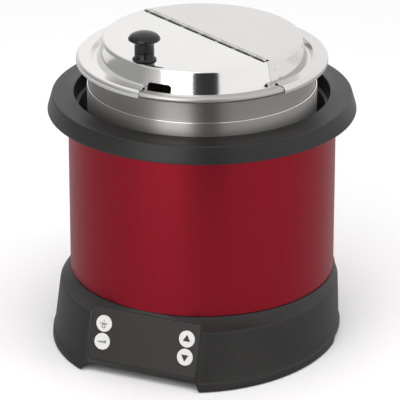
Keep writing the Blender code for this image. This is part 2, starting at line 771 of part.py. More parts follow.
def build_power_board(material):
    z = PLATE_TOP_Z + POWER_BOARD_LIFT + POWER_BOARD_SIZE[2] / 2
    board = box("power_board", POWER_BOARD_SIZE, (*POWER_BOARD_PLACE, z), material)
    low = PLATE_TOP_Z + FIT
    high = z
    for i, (side, end) in enumerate(((-1, -1), (1, -1), (-1, 1), (1, 1))):
        x = POWER_BOARD_PLACE[0] + side * (POWER_BOARD_SIZE[0] / 2 - STANDOFF_INSET)
        y = POWER_BOARD_PLACE[1] + end * (POWER_BOARD_SIZE[1] / 2 - STANDOFF_INSET)
        middle = (x, y, (low + high) / 2)
        leg = cylinder(f"standoff_{i}", STANDOFF_RADIUS, high - low, middle, cutter=True, steps=SCREW_ROUND)
        join(board, leg)


def build_heat_sink(material):
    width, length, height = HEAT_SINK_SIZE
    low = PLATE_TOP_Z + POWER_BOARD_LIFT + POWER_BOARD_SIZE[2] + FIT
    sink = box("heat_sink", HEAT_SINK_SIZE, (*POWER_BOARD_PLACE, low + height / 2), material)
    gap = (width - HEAT_SINK_FINS * HEAT_SINK_FIN) / (HEAT_SINK_FINS - 1)
    for i, offset in enumerate(row_of(HEAT_SINK_FINS - 1, gap + HEAT_SINK_FIN)):
        x, y = POWER_BOARD_PLACE
        place = (x + offset, y, low + HEAT_SINK_FLOOR + height / 2)
        cut(sink, box(f"fin_gap_{i}", (gap, 2 * length, height), place, cutter=True))


def build_fan(frame_material, rotor_material):
    low = PLATE_TOP_Z + FIT
    strut_width, strut = FAN_STRUT
    centre = (*FAN_PLACE, low + FAN_THICKNESS / 2)
    size = (FAN_SIZE, FAN_SIZE, FAN_THICKNESS)
    frame = box("fan_frame", size, centre, frame_material, bevel=FAN_CORNER)
    cut(frame, cylinder("fan_bore", FAN_BORE_RADIUS, 2 * FAN_THICKNESS, centre, cutter=True))
    reach = FAN_BORE_RADIUS + FAN_EDGE
    seat_middle = (*FAN_PLACE, low + strut / 2)
    for i in range(FAN_STRUT_COUNT):
        turn = 2 * pi * i / FAN_STRUT_COUNT
        place = Vector(seat_middle) + around(reach / 2, turn)
        bar = box(f"fan_strut_{i}", (strut_width, reach, strut), place, cutter=True)
        bar.rotation_euler.z = turn
        join(frame, bar)
    shaft_middle = (*FAN_PLACE, low + FAN_SHAFT_LENGTH / 2)
    seat = cylinder("fan_seat", FAN_SEAT_RADIUS, strut, seat_middle, cutter=True)
    shaft_sides = {"cutter": True, "steps": SCREW_ROUND}
    shaft = cylinder("fan_shaft", FAN_SHAFT_RADIUS, FAN_SHAFT_LENGTH, shaft_middle, **shaft_sides)
    join(frame, seat, shaft)

    hub_low = low + strut + 2 * FIT
    hub_top = low + FAN_THICKNESS - FAN_EDGE
    bore = FAN_SHAFT_RADIUS + FIT
    bore_top = low + FAN_SHAFT_LENGTH + 2 * FIT
    profile = [
        (0, hub_top),
        (FAN_HUB_RADIUS - FAN_EDGE, hub_top),
        (FAN_HUB_RADIUS, hub_top - FAN_EDGE),
        (FAN_HUB_RADIUS, hub_low),
        (bore, hub_low),
        (bore, bore_top),
        (0, bore_top),
    ]
    rotor = turned("fan_rotor", profile, rotor_material, steps=3 * FAN_BLADE_COUNT)
    rotor.location = (*FAN_PLACE, 0)
    root = FAN_HUB_RADIUS - FAN_BLADE_ROOT
    span = FAN_BORE_RADIUS - FAN_TIP_GAP - root
    chord, blade_thickness = FAN_BLADE
    for i in range(FAN_BLADE_COUNT):
        turn = 2 * pi * i / FAN_BLADE_COUNT
        blade = box(f"fan_blade_{i}", (chord, span, blade_thickness), cutter=True)
        place = Vector((*FAN_PLACE, (hub_low + hub_top) / 2)) + around(root + span / 2, turn)
        lean = Matrix.Rotation(turn, 4, "Z") @ Matrix.Rotation(FAN_BLADE_TILT, 4, "Y")
        blade.matrix_world = Matrix.Translation(place) @ lean
        join(rotor, blade)


def build_sleeve(material):
    low, top = BASE_HEIGHT + FIT, RING_CREASE_Z - RING_WALL - FIT
    inner = SLEEVE_RADIUS - SLEEVE_WALL
    profile = [(inner, top), (SLEEVE_RADIUS, top), (SLEEVE_RADIUS, low), (inner, low)]
    return turned("outer_sleeve", profile, material)


def build_ring(material):
    """The moulded rim: a flared skirt outside the sleeve and a collar inside it that carries the liner."""
    under = RING_CREASE_Z - RING_WALL
    collar_out = SLEEVE_RADIUS - SLEEVE_WALL - SLIDE_FIT
    collar_low = RING_LOW_Z - RING_COLLAR_DROP
    ledge = RING_INNER_Z - LINER_LEDGE_DEPTH - LINER_WALL - FIT
    bead = arc((RING_INNER_RADIUS + RING_EDGE, RING_INNER_Z - RING_EDGE), RING_EDGE, 180, 90, 1)
    crease = arc((RING_CREASE_RADIUS - RING_EDGE, RING_CREASE_Z - RING_EDGE), RING_EDGE, 80, 10, 1)
    profile = bead + [(RING_BEVEL_RADIUS, RING_CREASE_Z + RING_BEVEL_RISE)] + crease
    profile += [
        (RING_LOW_RADIUS, RING_LOW_Z + RING_HEM),
        (RING_LOW_RADIUS, RING_LOW_Z),
        (RING_LOW_RADIUS - RING_WALL, RING_LOW_Z),
        (RING_CREASE_RADIUS - RING_WALL, under),
        (collar_out, under),
        (collar_out, collar_low),
        (LINER_RADIUS + FIT, collar_low),
        (LINER_RADIUS + FIT, ledge),
        (RING_INNER_RADIUS, ledge),
    ]
    return turned("top_ring", profile, material)


def build_liner(material):
    top = RING_INNER_Z - LINER_LEDGE_DEPTH
    inner = LINER_RADIUS - LINER_WALL
    low = BASE_HEIGHT + GASKET_WIDTH / 2 + 2 * FIT
    profile = [
        (inner, top - LINER_EDGE),
        (inner + LINER_EDGE, top),
        (RING_INNER_RADIUS - FIT, top),
        (RING_INNER_RADIUS - FIT, top - LINER_WALL),
        (LINER_RADIUS, top - LINER_WALL),
        (LINER_RADIUS, low),
        (inner, low),
    ]
    return turned("well_liner", profile, material)


def build_gasket(material):
    inner = COVER_RADIUS + 2 * FIT
    low = BASE_HEIGHT + FIT
    top = low + GASKET_WIDTH / 2
    profile = [
        (inner, top),
        (inner + GASKET_WIDTH, top),
        (inner + GASKET_WIDTH, low),
        (inner, low),
    ]
    return turned("well_gasket", profile, material)


def build_jacket(material):
    """The magnetic steel skin that the coil heats, closed round the pan's side and floor."""
    inner = INSET_NECK_RADIUS + FIT
    outer = inner + JACKET_WALL
    floor = INSET_LOW_Z + JACKET_FLOOR
    turn = INSET_CORNER
    profile = [(inner, JACKET_TOP_Z), (outer, JACKET_TOP_Z)]
    profile += arc((outer - turn, INSET_LOW_Z + turn), turn, 0, -90, 2)
    profile += [(0, INSET_LOW_Z), (0, floor)]
    inside = turn - JACKET_WALL
    profile += arc((inner - inside, floor + inside), inside, -90, 0, 2)
    return turned_closed("inset_jacket", profile, material)


def turned_closed(name, profile, material, steps=ROUND):
    """A turned vessel whose profile runs from the rim down, along the axis, and back up inside."""
    on_axis = [i for i, (radius, _) in enumerate(profile) if radius == 0]
    first = on_axis[1]
    ordered = profile[first:] + profile[:first]
    return turned(name, ordered, material, steps)


def build_pan(material):
    outer = INSET_NECK_RADIUS
    inner = outer - PAN_WALL
    low = INSET_LOW_Z + JACKET_FLOOR + FIT
    turn = INSET_CORNER - JACKET_WALL - FIT
    profile = [(0, low + PAN_WALL)]
    profile += arc((inner - turn + PAN_WALL, low + turn), turn - PAN_WALL, -90, 0, 2)
    profile += [(inner, NECK_TOP_Z), (outer, NECK_TOP_Z)]
    profile += arc((outer - turn, low + turn), turn, 0, -90, 2)
    profile += [(0, low)]
    return turned("inset_pan", profile, material)


def build_rim(material):
    """The pan's rolled bead, set a gap above its straight wall so that each is a simple shape."""
    outer = INSET_NECK_RADIUS
    inner = outer - PAN_WALL
    low = NECK_TOP_Z + FIT
    shelf = RIM_Z + RIM_TUBE_RADIUS - PAN_WALL
    under = shelf - RIM_SHEET
    rolled_in = inner + RIM_BEND + PAN_WALL
    profile = [(inner, low)]
    profile += arc((rolled_in, shelf - RIM_BEND), RIM_BEND + PAN_WALL, 180, 90, 2)
    profile += arc((RIM_TUBE_CIRCLE, RIM_Z), RIM_TUBE_RADIUS, 90, RIM_CURL_END, 6)
    profile += [(RIM_TUBE_CIRCLE - RIM_TUBE_RADIUS + RIM_CURL_GAP, under)]
    profile += [(outer + RIM_BEND, under), (outer, under - RIM_BEND), (outer, low)]
    return turned("inset_rim", profile, material)


def lid_profile():
    """The closed lid's section: top face outwards to the lip, then back along the underside."""
    sheet = LID_SHEET
    crown = (LID_TOP_RADIUS, LID_TOP_Z - LID_CORNER)
    channel_z = RIM_Z - LID_CHANNEL_DROP
    skirt = LID_TOP_RADIUS + LID_CORNER + LID_SKIRT_FLARE
    channel = skirt + LID_CHANNEL_WIDTH
    tube = (RIM_TUBE_CIRCLE, RIM_Z)
    over = RIM_TUBE_RADIUS + FIT
    climb = INSET_NECK_RADIUS - PAN_WALL - LID_NECK_FIT
    outside = [(0, LID_TOP_Z)]
    outside += arc(crown, LID_CORNER, 90, 10, 2)
    outside += [(skirt, channel_z), (channel, channel_z), (climb, RIM_Z + over + sheet + FIT)]
    outside += arc(tube, over + sheet, 100, 0, 3)
    outside += [(RIM_TUBE_CIRCLE + over + sheet, RIM_Z - LID_LIP_DROP)]
    inside = [(RIM_TUBE_CIRCLE + over, RIM_Z - LID_LIP_DROP)]
    inside += arc(tube, over, 0, 100, 3)
    inside += [(climb + sheet / 2, RIM_Z + over + FIT), (channel + sheet / 2, channel_z - sheet)]
    inside += [(skirt - sheet, channel_z - sheet)]
    inside += arc(crown, LID_CORNER - sheet, 10, 90, 2)
    inside += [(0, LID_TOP_Z - sheet)]
    return outside + inside


def hinge_frame():
    """X along the hinge, Y from the hinge over the flap, Z up, on the pin's axis."""
    place = around(HINGE_BACK, HINGE_AZIMUTH + pi, LID_TOP_Z + BARREL_LIFT - LID_SHEET / 2)
    return Matrix.Translation(place) @ Matrix.Rotation(HINGE_AZIMUTH + pi, 4, "Z")


def along_hinge(name, radius, length, middle=0.0, material=None):
    """A rod on the hinge's axis: a cutter, or a part when it has a material."""
    rod = cylinder(name, radius, length, material=material, cutter=not material, steps=KNUCKLE_ROUND)
    place = Matrix.Translation((middle, 0, 0)) @ Matrix.Rotation(pi / 2, 4, "Y")
    rod.matrix_world = hinge_frame() @ place
    return rod


def build_lid_half(name, side, material):
    """One half of the lid, cut at the hinge line, with every other knuckle. Side +1 is the flap."""
    half = turned(name, lid_profile(), material)
    reach = 4 * INSET_NECK_RADIUS
    keep_out = box(f"{name}_cut", (reach, reach, reach), cutter=True)
    keep_out.matrix_world = hinge_frame() @ Matrix.Translation((0, side * (FIT / 2 - reach / 2), 0))
    room = 2 * (HINGE_HALF_LENGTH + BARREL_END_ROOM)
    channel = along_hinge(f"{name}_barrel_room", BARREL_RADIUS + BARREL_ROOM, room)
    cut(half, keep_out, channel)
    pitch = 2 * HINGE_HALF_LENGTH / KNUCKLE_COUNT
    for i, middle in enumerate(row_of(KNUCKLE_COUNT, pitch)):
        if i % 2 == (side > 0):
            knuckle = along_hinge(f"{name}_knuckle_{i}", BARREL_RADIUS, pitch - FIT, middle)
            tab_end = BARREL_RADIUS + TAB_REACH
            tab = box(f"{name}_tab_{i}", (pitch - FIT, tab_end - TAB_INSIDE, LID_SHEET), cutter=True)
            place = (middle, side * (TAB_INSIDE + tab_end) / 2, -BARREL_LIFT - TAB_SINK)
            tab.matrix_world = hinge_frame() @ Matrix.Translation(place)
            join(half, knuckle, tab)
    cut(half, along_hinge(f"{name}_pin_hole", PIN_RADIUS + FIT, 4 * HINGE_HALF_LENGTH))
    return half


def build_lid(material, pin_material):
    build_lid_half("lid_rear", -1, material)
    flap = build_lid_half("lid_flap", 1, material)
    low = RIM_Z - 2 * LID_LIP_DROP
    top = RIM_Z + NOTCH_HEIGHT
    outline = [
        (-NOTCH_WIDTH / 2, low),
        (NOTCH_WIDTH / 2, low),
        (NOTCH_WIDTH / 2, top - NOTCH_HEIGHT / 2),
        (NOTCH_TOP_WIDTH / 2, top),
        (-NOTCH_TOP_WIDTH / 2, top),
        (-NOTCH_WIDTH / 2, top - NOTCH_HEIGHT / 2),
    ]
    notch = wall_prism("ladle_notch", outline, INSET_NECK_RADIUS, False, -INSET_NECK_RADIUS / 2)
    knob_place = around(KNOB_CIRCLE, KNOB_AZIMUTH, LID_TOP_Z)
    hole = cylinder("knob_screw_hole", KNOB_SCREW_RADIUS + FIT, THROUGH / 2, knob_place, cutter=True)
    cut(flap, notch, hole)
    use_manifold_solver(flap)
    along_hinge("hinge_pin", PIN_RADIUS, 2 * HINGE_HALF_LENGTH, material=pin_material)


def build_knob(material, screw_material):
    """The handle: a foot with a stem, a mushroom cap above the parting line, and the screw from below."""
    seat = LID_TOP_Z + FIT
    split = seat + KNOB_SPLIT
    top = seat + KNOB_HEIGHT
    widest = seat + KNOB_CAP_WIDEST
    bore = KNOB_SCREW_RADIUS + FIT
    bore_top = split + KNOB_SCREW_GRIP
    place = around(KNOB_CIRCLE, KNOB_AZIMUTH)
    base = [
        (bore, split),
        (KNOB_STEM_RADIUS, split),
        (KNOB_STEM_RADIUS, seat + KNOB_FLARE_HEIGHT),
        (KNOB_FOOT_RADIUS, seat + KNOB_FOOT_HEIGHT),
        (KNOB_FOOT_RADIUS, seat),
        (bore, seat),
    ]
    turned("knob_base", base, material, steps=SMALL_ROUND).location = place
    dome = [(0, top)] + [(KNOB_CAP_RADIUS * share, top - drop) for share, drop in KNOB_DOME]
    dome += [
        (KNOB_CAP_RADIUS, widest),
        (KNOB_CAP_RADIUS * KNOB_UNDERCUT[0], widest - KNOB_UNDERCUT[1]),
        (KNOB_STEM_RADIUS, seat + KNOB_CAP_UNDER),
        (KNOB_STEM_RADIUS, split + FIT),
        (bore, split + FIT),
        (bore, bore_top),
        (0, bore_top),
    ]
    turned("knob_cap", dome, material, steps=SMALL_ROUND).location = place
    under = LID_TOP_Z - LID_SHEET - FIT
    screw = [
        (0, bore_top - FIT),
        (KNOB_SCREW_RADIUS, bore_top - FIT),
        (KNOB_SCREW_RADIUS, under),
        (2 * KNOB_SCREW_RADIUS, under),
        (2 * KNOB_SCREW_RADIUS, under - KNOB_SCREW_HEAD),
        (0, under - KNOB_SCREW_HEAD),
    ]
    turned("knob_screw", screw, screw_material, steps=SCREW_ROUND).location = place


def main():
    clear_scene()
    make_collection(OBJECT)
    make_collection(CUTTERS).hide_render = True
    moulding = make_material("moulded_black", (0.035, 0.034, 0.033), 0.45)
    red_paint = make_material("red_paint", (0.30, 0.012, 0.025), 0.35, 0.6)
    steel = make_material("polished_steel", (0.62, 0.61, 0.60), 0.12, 1.0)
    satin_steel = make_material("satin_steel", (0.50, 0.49, 0.48), 0.32, 1.0)
    white_cap = make_material("button_white", (0.8, 0.8, 0.78), 0.4)
    film = make_material("panel_film", (0.045, 0.04, 0.04), 0.3)
    rubber = make_material("foot_rubber", (0.02, 0.02, 0.02), 0.8)
    phenolic = make_material("knob_phenolic", (0.012, 0.012, 0.012), 0.25)
    glass = make_material("cover_glass", (0.02, 0.02, 0.022), 0.08)
    copper = make_material("winding_copper", (0.6, 0.27, 0.12), 0.35, 1.0)
    ferrite = make_material("ferrite", (0.05, 0.05, 0.052), 0.7)
    board = make_material("circuit_board", (0.02, 0.12, 0.05), 0.5)
    aluminium = make_material("aluminium", (0.55, 0.56, 0.57), 0.4, 1.0)
    zinc = make_material("zinc_screw", (0.5, 0.5, 0.5), 0.3, 1.0)

    build_base_housing(moulding)
    build_base_plate(moulding)
    build_feet(rubber)
    build_base_screws(zinc)
    build_cord_gland(moulding)
    build_overlay(film)
    build_buttons(white_cap)
    build_control_board(board)
    build_display(film)
    build_coil_cover(glass)
    build_bobbin(moulding)
    build_coil(copper)
    build_ferrites(ferrite)
    build_sensor(aluminium)
    build_power_board(board)
    build_heat_sink(aluminium)
    build_fan(moulding, moulding)
    build_sleeve(red_paint)
    build_ring(moulding)
    build_liner(moulding)
    build_gasket(rubber)
    build_jacket(satin_steel)
    build_pan(satin_steel)
    build_rim(satin_steel)
    build_lid(steel, steel)
    build_knob(phenolic, zinc)


main()
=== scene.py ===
import math

import bpy
from mathutils import Matrix, Vector


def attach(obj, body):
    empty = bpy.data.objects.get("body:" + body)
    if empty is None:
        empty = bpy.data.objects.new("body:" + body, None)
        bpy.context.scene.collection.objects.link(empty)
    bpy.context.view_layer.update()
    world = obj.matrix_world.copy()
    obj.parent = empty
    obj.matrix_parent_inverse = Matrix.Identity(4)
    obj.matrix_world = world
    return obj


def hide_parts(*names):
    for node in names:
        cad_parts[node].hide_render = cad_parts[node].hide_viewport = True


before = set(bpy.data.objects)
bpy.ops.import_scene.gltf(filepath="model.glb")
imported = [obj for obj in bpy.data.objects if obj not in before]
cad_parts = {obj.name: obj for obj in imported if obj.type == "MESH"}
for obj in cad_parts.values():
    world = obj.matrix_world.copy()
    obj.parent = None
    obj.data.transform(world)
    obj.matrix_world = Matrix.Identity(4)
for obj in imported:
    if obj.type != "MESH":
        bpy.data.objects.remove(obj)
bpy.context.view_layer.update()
print("frame loaded")

# all sizes in the dictionaries are in millimetres and degrees
mm = 0.001
sides = 144  # the same on every large turned piece, so that their gaps stay even


def place(radius, azimuth, height=0.0):
    # azimuth in degrees from the front (-Y) towards +X, sizes in millimetres
    angle = math.radians(azimuth)
    return Vector((radius * math.sin(angle), -radius * math.cos(angle), height)) * mm


def bend(centre, radius, start, end, count):
    # points on an arc in a section's plane, both ends included
    angles = [math.radians(start + (end - start) * step / count) for step in range(count + 1)]
    return [(centre[0] + radius * math.cos(a), centre[1] + radius * math.sin(a)) for a in angles]


def choose(piece):
    bpy.ops.object.select_all(action="DESELECT")
    piece.select_set(True)
    bpy.context.view_layer.objects.active = piece


def editing(piece):
    choose(piece)
    bpy.ops.object.mode_set(mode="EDIT")
    bpy.ops.mesh.select_mode(type="VERT")
    bpy.ops.mesh.select_all(action="SELECT")


def doneEditing():
    bpy.ops.object.mode_set(mode="OBJECT")


def closeUp():
    # after a cut: every face points outwards again
    bpy.ops.mesh.select_all(action="SELECT")
    bpy.ops.mesh.normals_make_consistent(inside=False)
    doneEditing()


def pick(piece, mode, wanted):
    # selects the vertices, edges or faces for which wanted says yes, and goes back to edit mode
    bpy.ops.mesh.select_mode(type=mode)
    bpy.ops.mesh.select_all(action="DESELECT")
    bpy.ops.object.mode_set(mode="OBJECT")
    mesh = piece.data
    items = {"VERT": mesh.vertices, "EDGE": mesh.edges, "FACE": mesh.polygons}[mode]
    for item in items:
        item.select = wanted(item)
    bpy.ops.object.mode_set(mode="EDIT")


def apply(piece, kind, **settings):
    choose(piece)
    modifier = piece.modifiers.new(kind.title(), kind)
    for name, value in settings.items():
        setattr(modifier, name, value)
    bpy.ops.object.modifier_apply(modifier=modifier.name)


def soften(piece, width, segments=2, angle=35):
    apply(
        piece, "BEVEL", width=width * mm, segments=segments, limit_method="ANGLE",
        angle_limit=math.radians(angle), use_clamp_overlap=True,
    )


def smooth(piece, angle=30):
    choose(piece)
    bpy.ops.object.shade_smooth_by_angle(angle=math.radians(angle))


def settle(piece, matrix=None):
    # puts the piece's place in its mesh and leaves the object at the origin
    if matrix is not None:
        piece.matrix_world = matrix @ piece.matrix_world
    choose(piece)
    bpy.ops.object.transform_apply(location=True, rotation=True, scale=True)
    return piece


def turn(name, section, closed=True, count=sides):
    # draws the section by extruding one point, then spins it round the upright axis
    bpy.ops.object.select_all(action="DESELECT")
    bpy.ops.mesh.primitive_plane_add(size=mm, location=(0, 0, 0))
    piece = bpy.context.object
    piece.name = name
    editing(piece)
    bpy.ops.mesh.merge(type="CENTER")
    points = [Vector((radius, 0, height)) * mm for radius, height in section]
    if closed:
        points.append(points[0])
    bpy.ops.transform.translate(value=points[0])
    for before, after in zip(points, points[1:]):
        bpy.ops.mesh.extrude_region_move(TRANSFORM_OT_translate={"value": after - before})
    bpy.ops.mesh.select_mode(type="VERT")
    bpy.ops.mesh.select_all(action="SELECT")
    bpy.ops.mesh.spin(steps=count, angle=2 * math.pi, center=(0, 0, 0), axis=(0, 0, 1))
    bpy.ops.mesh.select_all(action="SELECT")
    bpy.ops.mesh.remove_doubles(threshold=0.00001)
    bpy.ops.mesh.normals_make_consistent(inside=False)
    doneEditing()
    return piece


def block(name, size, centre=(0, 0, 0)):
    bpy.ops.object.select_all(action="DESELECT")
    bpy.ops.mesh.primitive_cube_add(size=1, location=Vector(centre) * mm)
    piece = bpy.context.object
    piece.name = name
    piece.scale = Vector(size) * mm
    return settle(piece)


def rod(name, radius, length, centre=(0, 0, 0), count=32, edge=0.0):
    bpy.ops.object.select_all(action="DESELECT")
    bpy.ops.mesh.primitive_cylinder_add(
        vertices=count, radius=radius * mm, depth=length * mm, location=Vector(centre) * mm
    )
    piece = bpy.context.object
    piece.name = name
    settle(piece)
    if edge:
        soften(piece, edge, 2, 50)
    return piece


def carve(piece, *cutters, operation="DIFFERENCE", solver="MANIFOLD"):
    for cutter in cutters:
        apply(piece, "BOOLEAN", operation=operation, object=cutter, solver=solver)
        bpy.data.objects.remove(cutter, do_unlink=True)


def merge(piece, *others):
    # joins copies and small details into one piece
    bpy.ops.object.select_all(action="DESELECT")
    for item in (piece, *others):
        item.select_set(True)
    bpy.context.view_layer.objects.active = piece
    bpy.ops.object.join()
    return piece


def copyOf(piece, name):
    twin = piece.copy()
    twin.data = piece.data.copy()
    twin.name = name
    bpy.context.collection.objects.link(twin)
    return twin


def dress(piece, finish, body, slotName, *nodes):
    while piece.data.materials:
        piece.data.materials.pop()
    piece.data.materials.append(finish)
    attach(piece, body)
    if nodes:
        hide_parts(*nodes)


class Wire:
    # one socket, so that shader maths reads as plain expressions
    def __init__(self, finish, socket):
        self.finish = finish
        self.socket = socket

    def work(self, operation, first, second):
        settings = {"operation": operation}
        return self.finish.add("ShaderNodeMath", settings, {0: first, 1: second})["Value"]

    def __add__(self, other):
        return self.work("ADD", self, other)

    def __sub__(self, other):
        return self.work("SUBTRACT", self, other)

    def __rsub__(self, other):
        return self.work("SUBTRACT", other, self)

    def __mul__(self, other):
        return self.work("MULTIPLY", self, other)

    __radd__ = __add__
    __rmul__ = __mul__


class Finish:
    def __init__(self, name, colour, roughness, **fixed):
        self.material = bpy.data.materials.new(name)
        self.material.use_nodes = True
        self.tree = self.material.node_tree
        self.shader = self.tree.nodes["Principled BSDF"]
        self.colour = (*colour, 1.0)
        self.roughness = roughness
        self.shader.inputs["Base Color"].default_value = self.colour
        self.shader.inputs["Roughness"].default_value = roughness
        for socket, value in fixed.items():
            self.shader.inputs[socket].default_value = value

    def feed(self, socket, value):
        if isinstance(value, Wire):
            self.tree.links.new(value.socket, socket)
        else:
            socket.default_value = value

    def add(self, kind, settings=None, inputs=None):
        node = self.tree.nodes.new(kind)
        for name, value in (settings or {}).items():
            if name == "stops":
                ramp = node.color_ramp
                for index, (position, shade) in enumerate(value):
                    stop = ramp.elements[index] if index < 2 else ramp.elements.new(position)
                    stop.position = position
                    stop.color = (shade, shade, shade, 1.0)
            else:
                setattr(node, name, value)
        for name, value in (inputs or {}).items():
            self.feed(node.inputs[name], value)
        return {output.name: Wire(self, output) for output in node.outputs}

    def spot(self, stretch=(1, 1, 1)):
        here = self.add("ShaderNodeTexCoord")["Object"]
        return self.add("ShaderNodeMapping", {}, {"Vector": here, "Scale": stretch})["Vector"]

    def noise(self, scale, detail=2.0, stretch=(1, 1, 1), contrast=None):
        inputs = {"Vector": self.spot(stretch), "Scale": scale, "Detail": detail}
        grain = self.add("ShaderNodeTexNoise", {}, inputs)["Fac"]
        if contrast:
            low, high = contrast
            settings = {"stops": ((low, 0.0), (high, 1.0))}
            grain = self.add("ShaderNodeValToRGB", settings, {"Fac": grain})["Color"]
        return grain

    def cells(self, scale):
        return self.add("ShaderNodeTexVoronoi", {}, {"Vector": self.spot(), "Scale": scale})

    def paint(self, mask, other):
        # the base colour goes to the other colour where the mask is white
        mixed = self.add("ShaderNodeMix", {"data_type": "RGBA"}, {"Factor": mask})
        node = mixed["Result"].socket.node  # its colour sockets share one name, so they go by number
        node.inputs[6].default_value = self.colour
        node.inputs[7].default_value = (*other, 1.0)
        self.tree.links.new(node.outputs[2], self.shader.inputs["Base Color"])
        return self

    def vary(self, mask, amount):
        self.feed(self.shader.inputs["Roughness"], self.roughness + (mask - 0.5) * amount)
        return self

    def emboss(self, height, strength, distance):
        inputs = {"Height": height, "Strength": strength, "Distance": distance * mm}
        raised = self.add("ShaderNodeBump", {}, inputs)["Normal"]
        self.feed(self.shader.inputs["Normal"], raised)
        return self


def moulded(name, colour, lighter, roughness, grain=1400, relief=0.25):
    finish = Finish(name, colour, roughness)
    finish.shader.inputs["Specular IOR Level"].default_value = 0.36
    fine = finish.noise(grain, 3.0)
    broad = finish.noise(28, 4.0, contrast=(0.3, 0.75))
    finish.paint(broad * 0.7 + fine * 0.3, lighter)
    finish.vary(fine * 0.5 + broad * 0.5, 0.14)
    return finish.emboss(fine, relief, 0.12)


def brushed(name, colour, darker, roughness, stretch, relief=0.12, marks=0.10, spread=0.0):
    finish = Finish(name, colour, roughness, Metallic=1.0)
    if spread:
        finish.shader.inputs["Anisotropic"].default_value = spread
        finish.shader.inputs["Anisotropic Rotation"].default_value = 0.25
    lines = finish.noise(1.0, 3.0, stretch)
    smears = finish.noise(14, 4.0, contrast=(0.35, 0.8))
    finish.paint(lines * 0.5 + smears * 0.35, darker)
    finish.vary(lines * 0.7 + smears * 0.3, marks)
    return finish.emboss(lines, relief, 0.03)


def makeFinishes():
    made = {}
    made["moulding"] = moulded("satinMoulding", (0.012, 0.0115, 0.011), (0.020, 0.019, 0.018), 0.42)
    made["ring"] = moulded("ringMoulding", (0.010, 0.0097, 0.0095), (0.016, 0.0155, 0.015), 0.38, 1100, 0.18)
    made["liner"] = moulded("linerMoulding", (0.055, 0.053, 0.051), (0.085, 0.082, 0.079), 0.34, 900, 0.15)
    made["film"] = moulded("panelFilm", (0.017, 0.0135, 0.0130), (0.023, 0.0185, 0.0178), 0.34, 2200, 0.10)
    made["rubber"] = moulded("footRubber", (0.018, 0.018, 0.018), (0.030, 0.029, 0.028), 0.78, 700, 0.4)
    made["fan"] = moulded("fanPlastic", (0.020, 0.020, 0.020), (0.034, 0.034, 0.034), 0.45, 1500, 0.2)
    made["cap"] = moulded("buttonWhite", (0.66, 0.655, 0.645), (0.60, 0.595, 0.585), 0.30, 1800, 0.06)
    made["ink"] = moulded("buttonInk", (0.020, 0.019, 0.019), (0.035, 0.033, 0.032), 0.5, 1800, 0.1)
    made["greyInk"] = moulded("buttonGreyInk", (0.07, 0.07, 0.07), (0.12, 0.12, 0.12), 0.5, 1800, 0.1)
    made["ferrite"] = moulded("ferrite", (0.045, 0.045, 0.047), (0.08, 0.08, 0.08), 0.72, 900, 0.4)

    paint = Finish("redMetallicPaint", (0.270, 0.0115, 0.0225), 0.38, Metallic=1.0)
    paint.shader.inputs["Coat Weight"].default_value = 0.06
    paint.shader.inputs["Coat Roughness"].default_value = 0.22
    flakes = paint.cells(1900)["Distance"]
    peel = paint.noise(160, 3.0)
    paint.paint(flakes * 0.9, (0.43, 0.021, 0.037))
    paint.vary(flakes * 0.6 + peel * 0.4, 0.16)
    made["paint"] = paint.emboss(peel * 0.7 + flakes * 0.3, 0.05, 0.08)

    made["steel"] = brushed(
        "polishedSteel", (0.86, 0.855, 0.845), (0.78, 0.77, 0.76), 0.12, (25, 25, 900), 0.03, 0.06,
    )
    # a darker copy of the polished steel for the lid's rear half: painted shade
    made["steelRear"] = brushed(
        "polishedSteelRearPaintedShade", (0.74, 0.725, 0.71), (0.66, 0.645, 0.63), 0.12, (25, 25, 900), 0.03, 0.06,
    )
    made["satin"] = brushed(
        "satinSteel", (0.56, 0.54, 0.525), (0.46, 0.44, 0.425), 0.46, (9, 9, 1300), 0.10, 0.10, spread=0.92,
    )
    made["rim"] = brushed(
        "rimSteel", (0.52, 0.505, 0.49), (0.43, 0.415, 0.40), 0.38, (40, 40, 700), 0.05, 0.08,
    )
    made["zinc"] = brushed("zincPlate", (0.55, 0.56, 0.57), (0.42, 0.42, 0.42), 0.30, (500, 500, 500), 0.1)
    made["aluminium"] = brushed(
        "bareAluminium", (0.62, 0.63, 0.64), (0.52, 0.53, 0.54), 0.38, (60, 900, 60), 0.15,
    )

    phenolic = Finish("phenolic", (0.006, 0.006, 0.006), 0.20)
    phenolic.shader.inputs["Specular IOR Level"].default_value = 0.34
    swirl = phenolic.noise(60, 5.0, contrast=(0.35, 0.7))
    phenolic.paint(swirl, (0.012, 0.0115, 0.011))
    phenolic.vary(swirl, 0.10)
    made["phenolic"] = phenolic.emboss(phenolic.noise(500, 2.0), 0.04, 0.05)

    glass = Finish("blackCeramic", (0.016, 0.016, 0.018), 0.09)
    dots = glass.noise(420, 2.0, contrast=(0.62, 0.66))
    glass.paint(dots, (0.09, 0.09, 0.09))
    glass.vary(glass.noise(9, 3.0), 0.08)
    made["glass"] = glass

    winding = Finish("lacquerWinding", (0.55, 0.22, 0.08), 0.32, Metallic=0.9)
    here = winding.spot((1, 1, 0))
    away = winding.add("ShaderNodeVectorMath", {"operation": "LENGTH"}, {0: here})["Value"]
    strandPitch = 1.9 * mm
    waves = away * (2 * math.pi / strandPitch)
    strands = winding.add("ShaderNodeMath", {"operation": "SINE"}, {0: waves})["Value"] * 0.5 + 0.5
    # the grooves between the strands are painted darker: painted shade
    winding.paint(1 - strands, (0.10, 0.035, 0.015))
    winding.vary(strands, 0.2)
    made["winding"] = winding.emboss(strands, 0.8, 0.5)

    board = Finish("solderMask", (0.010, 0.075, 0.030), 0.40)
    tracks = board.add(
        "ShaderNodeTexBrick", {"offset": 0.37}, {"Vector": board.spot(), "Scale": 90.0, "Mortar Size": 0.03}
    )["Fac"]
    board.paint(tracks, (0.030, 0.16, 0.055))
    board.vary(tracks, 0.2)
    made["board"] = board.emboss(tracks, 0.2, 0.05)
    return {name: finish.material for name, finish in made.items()}


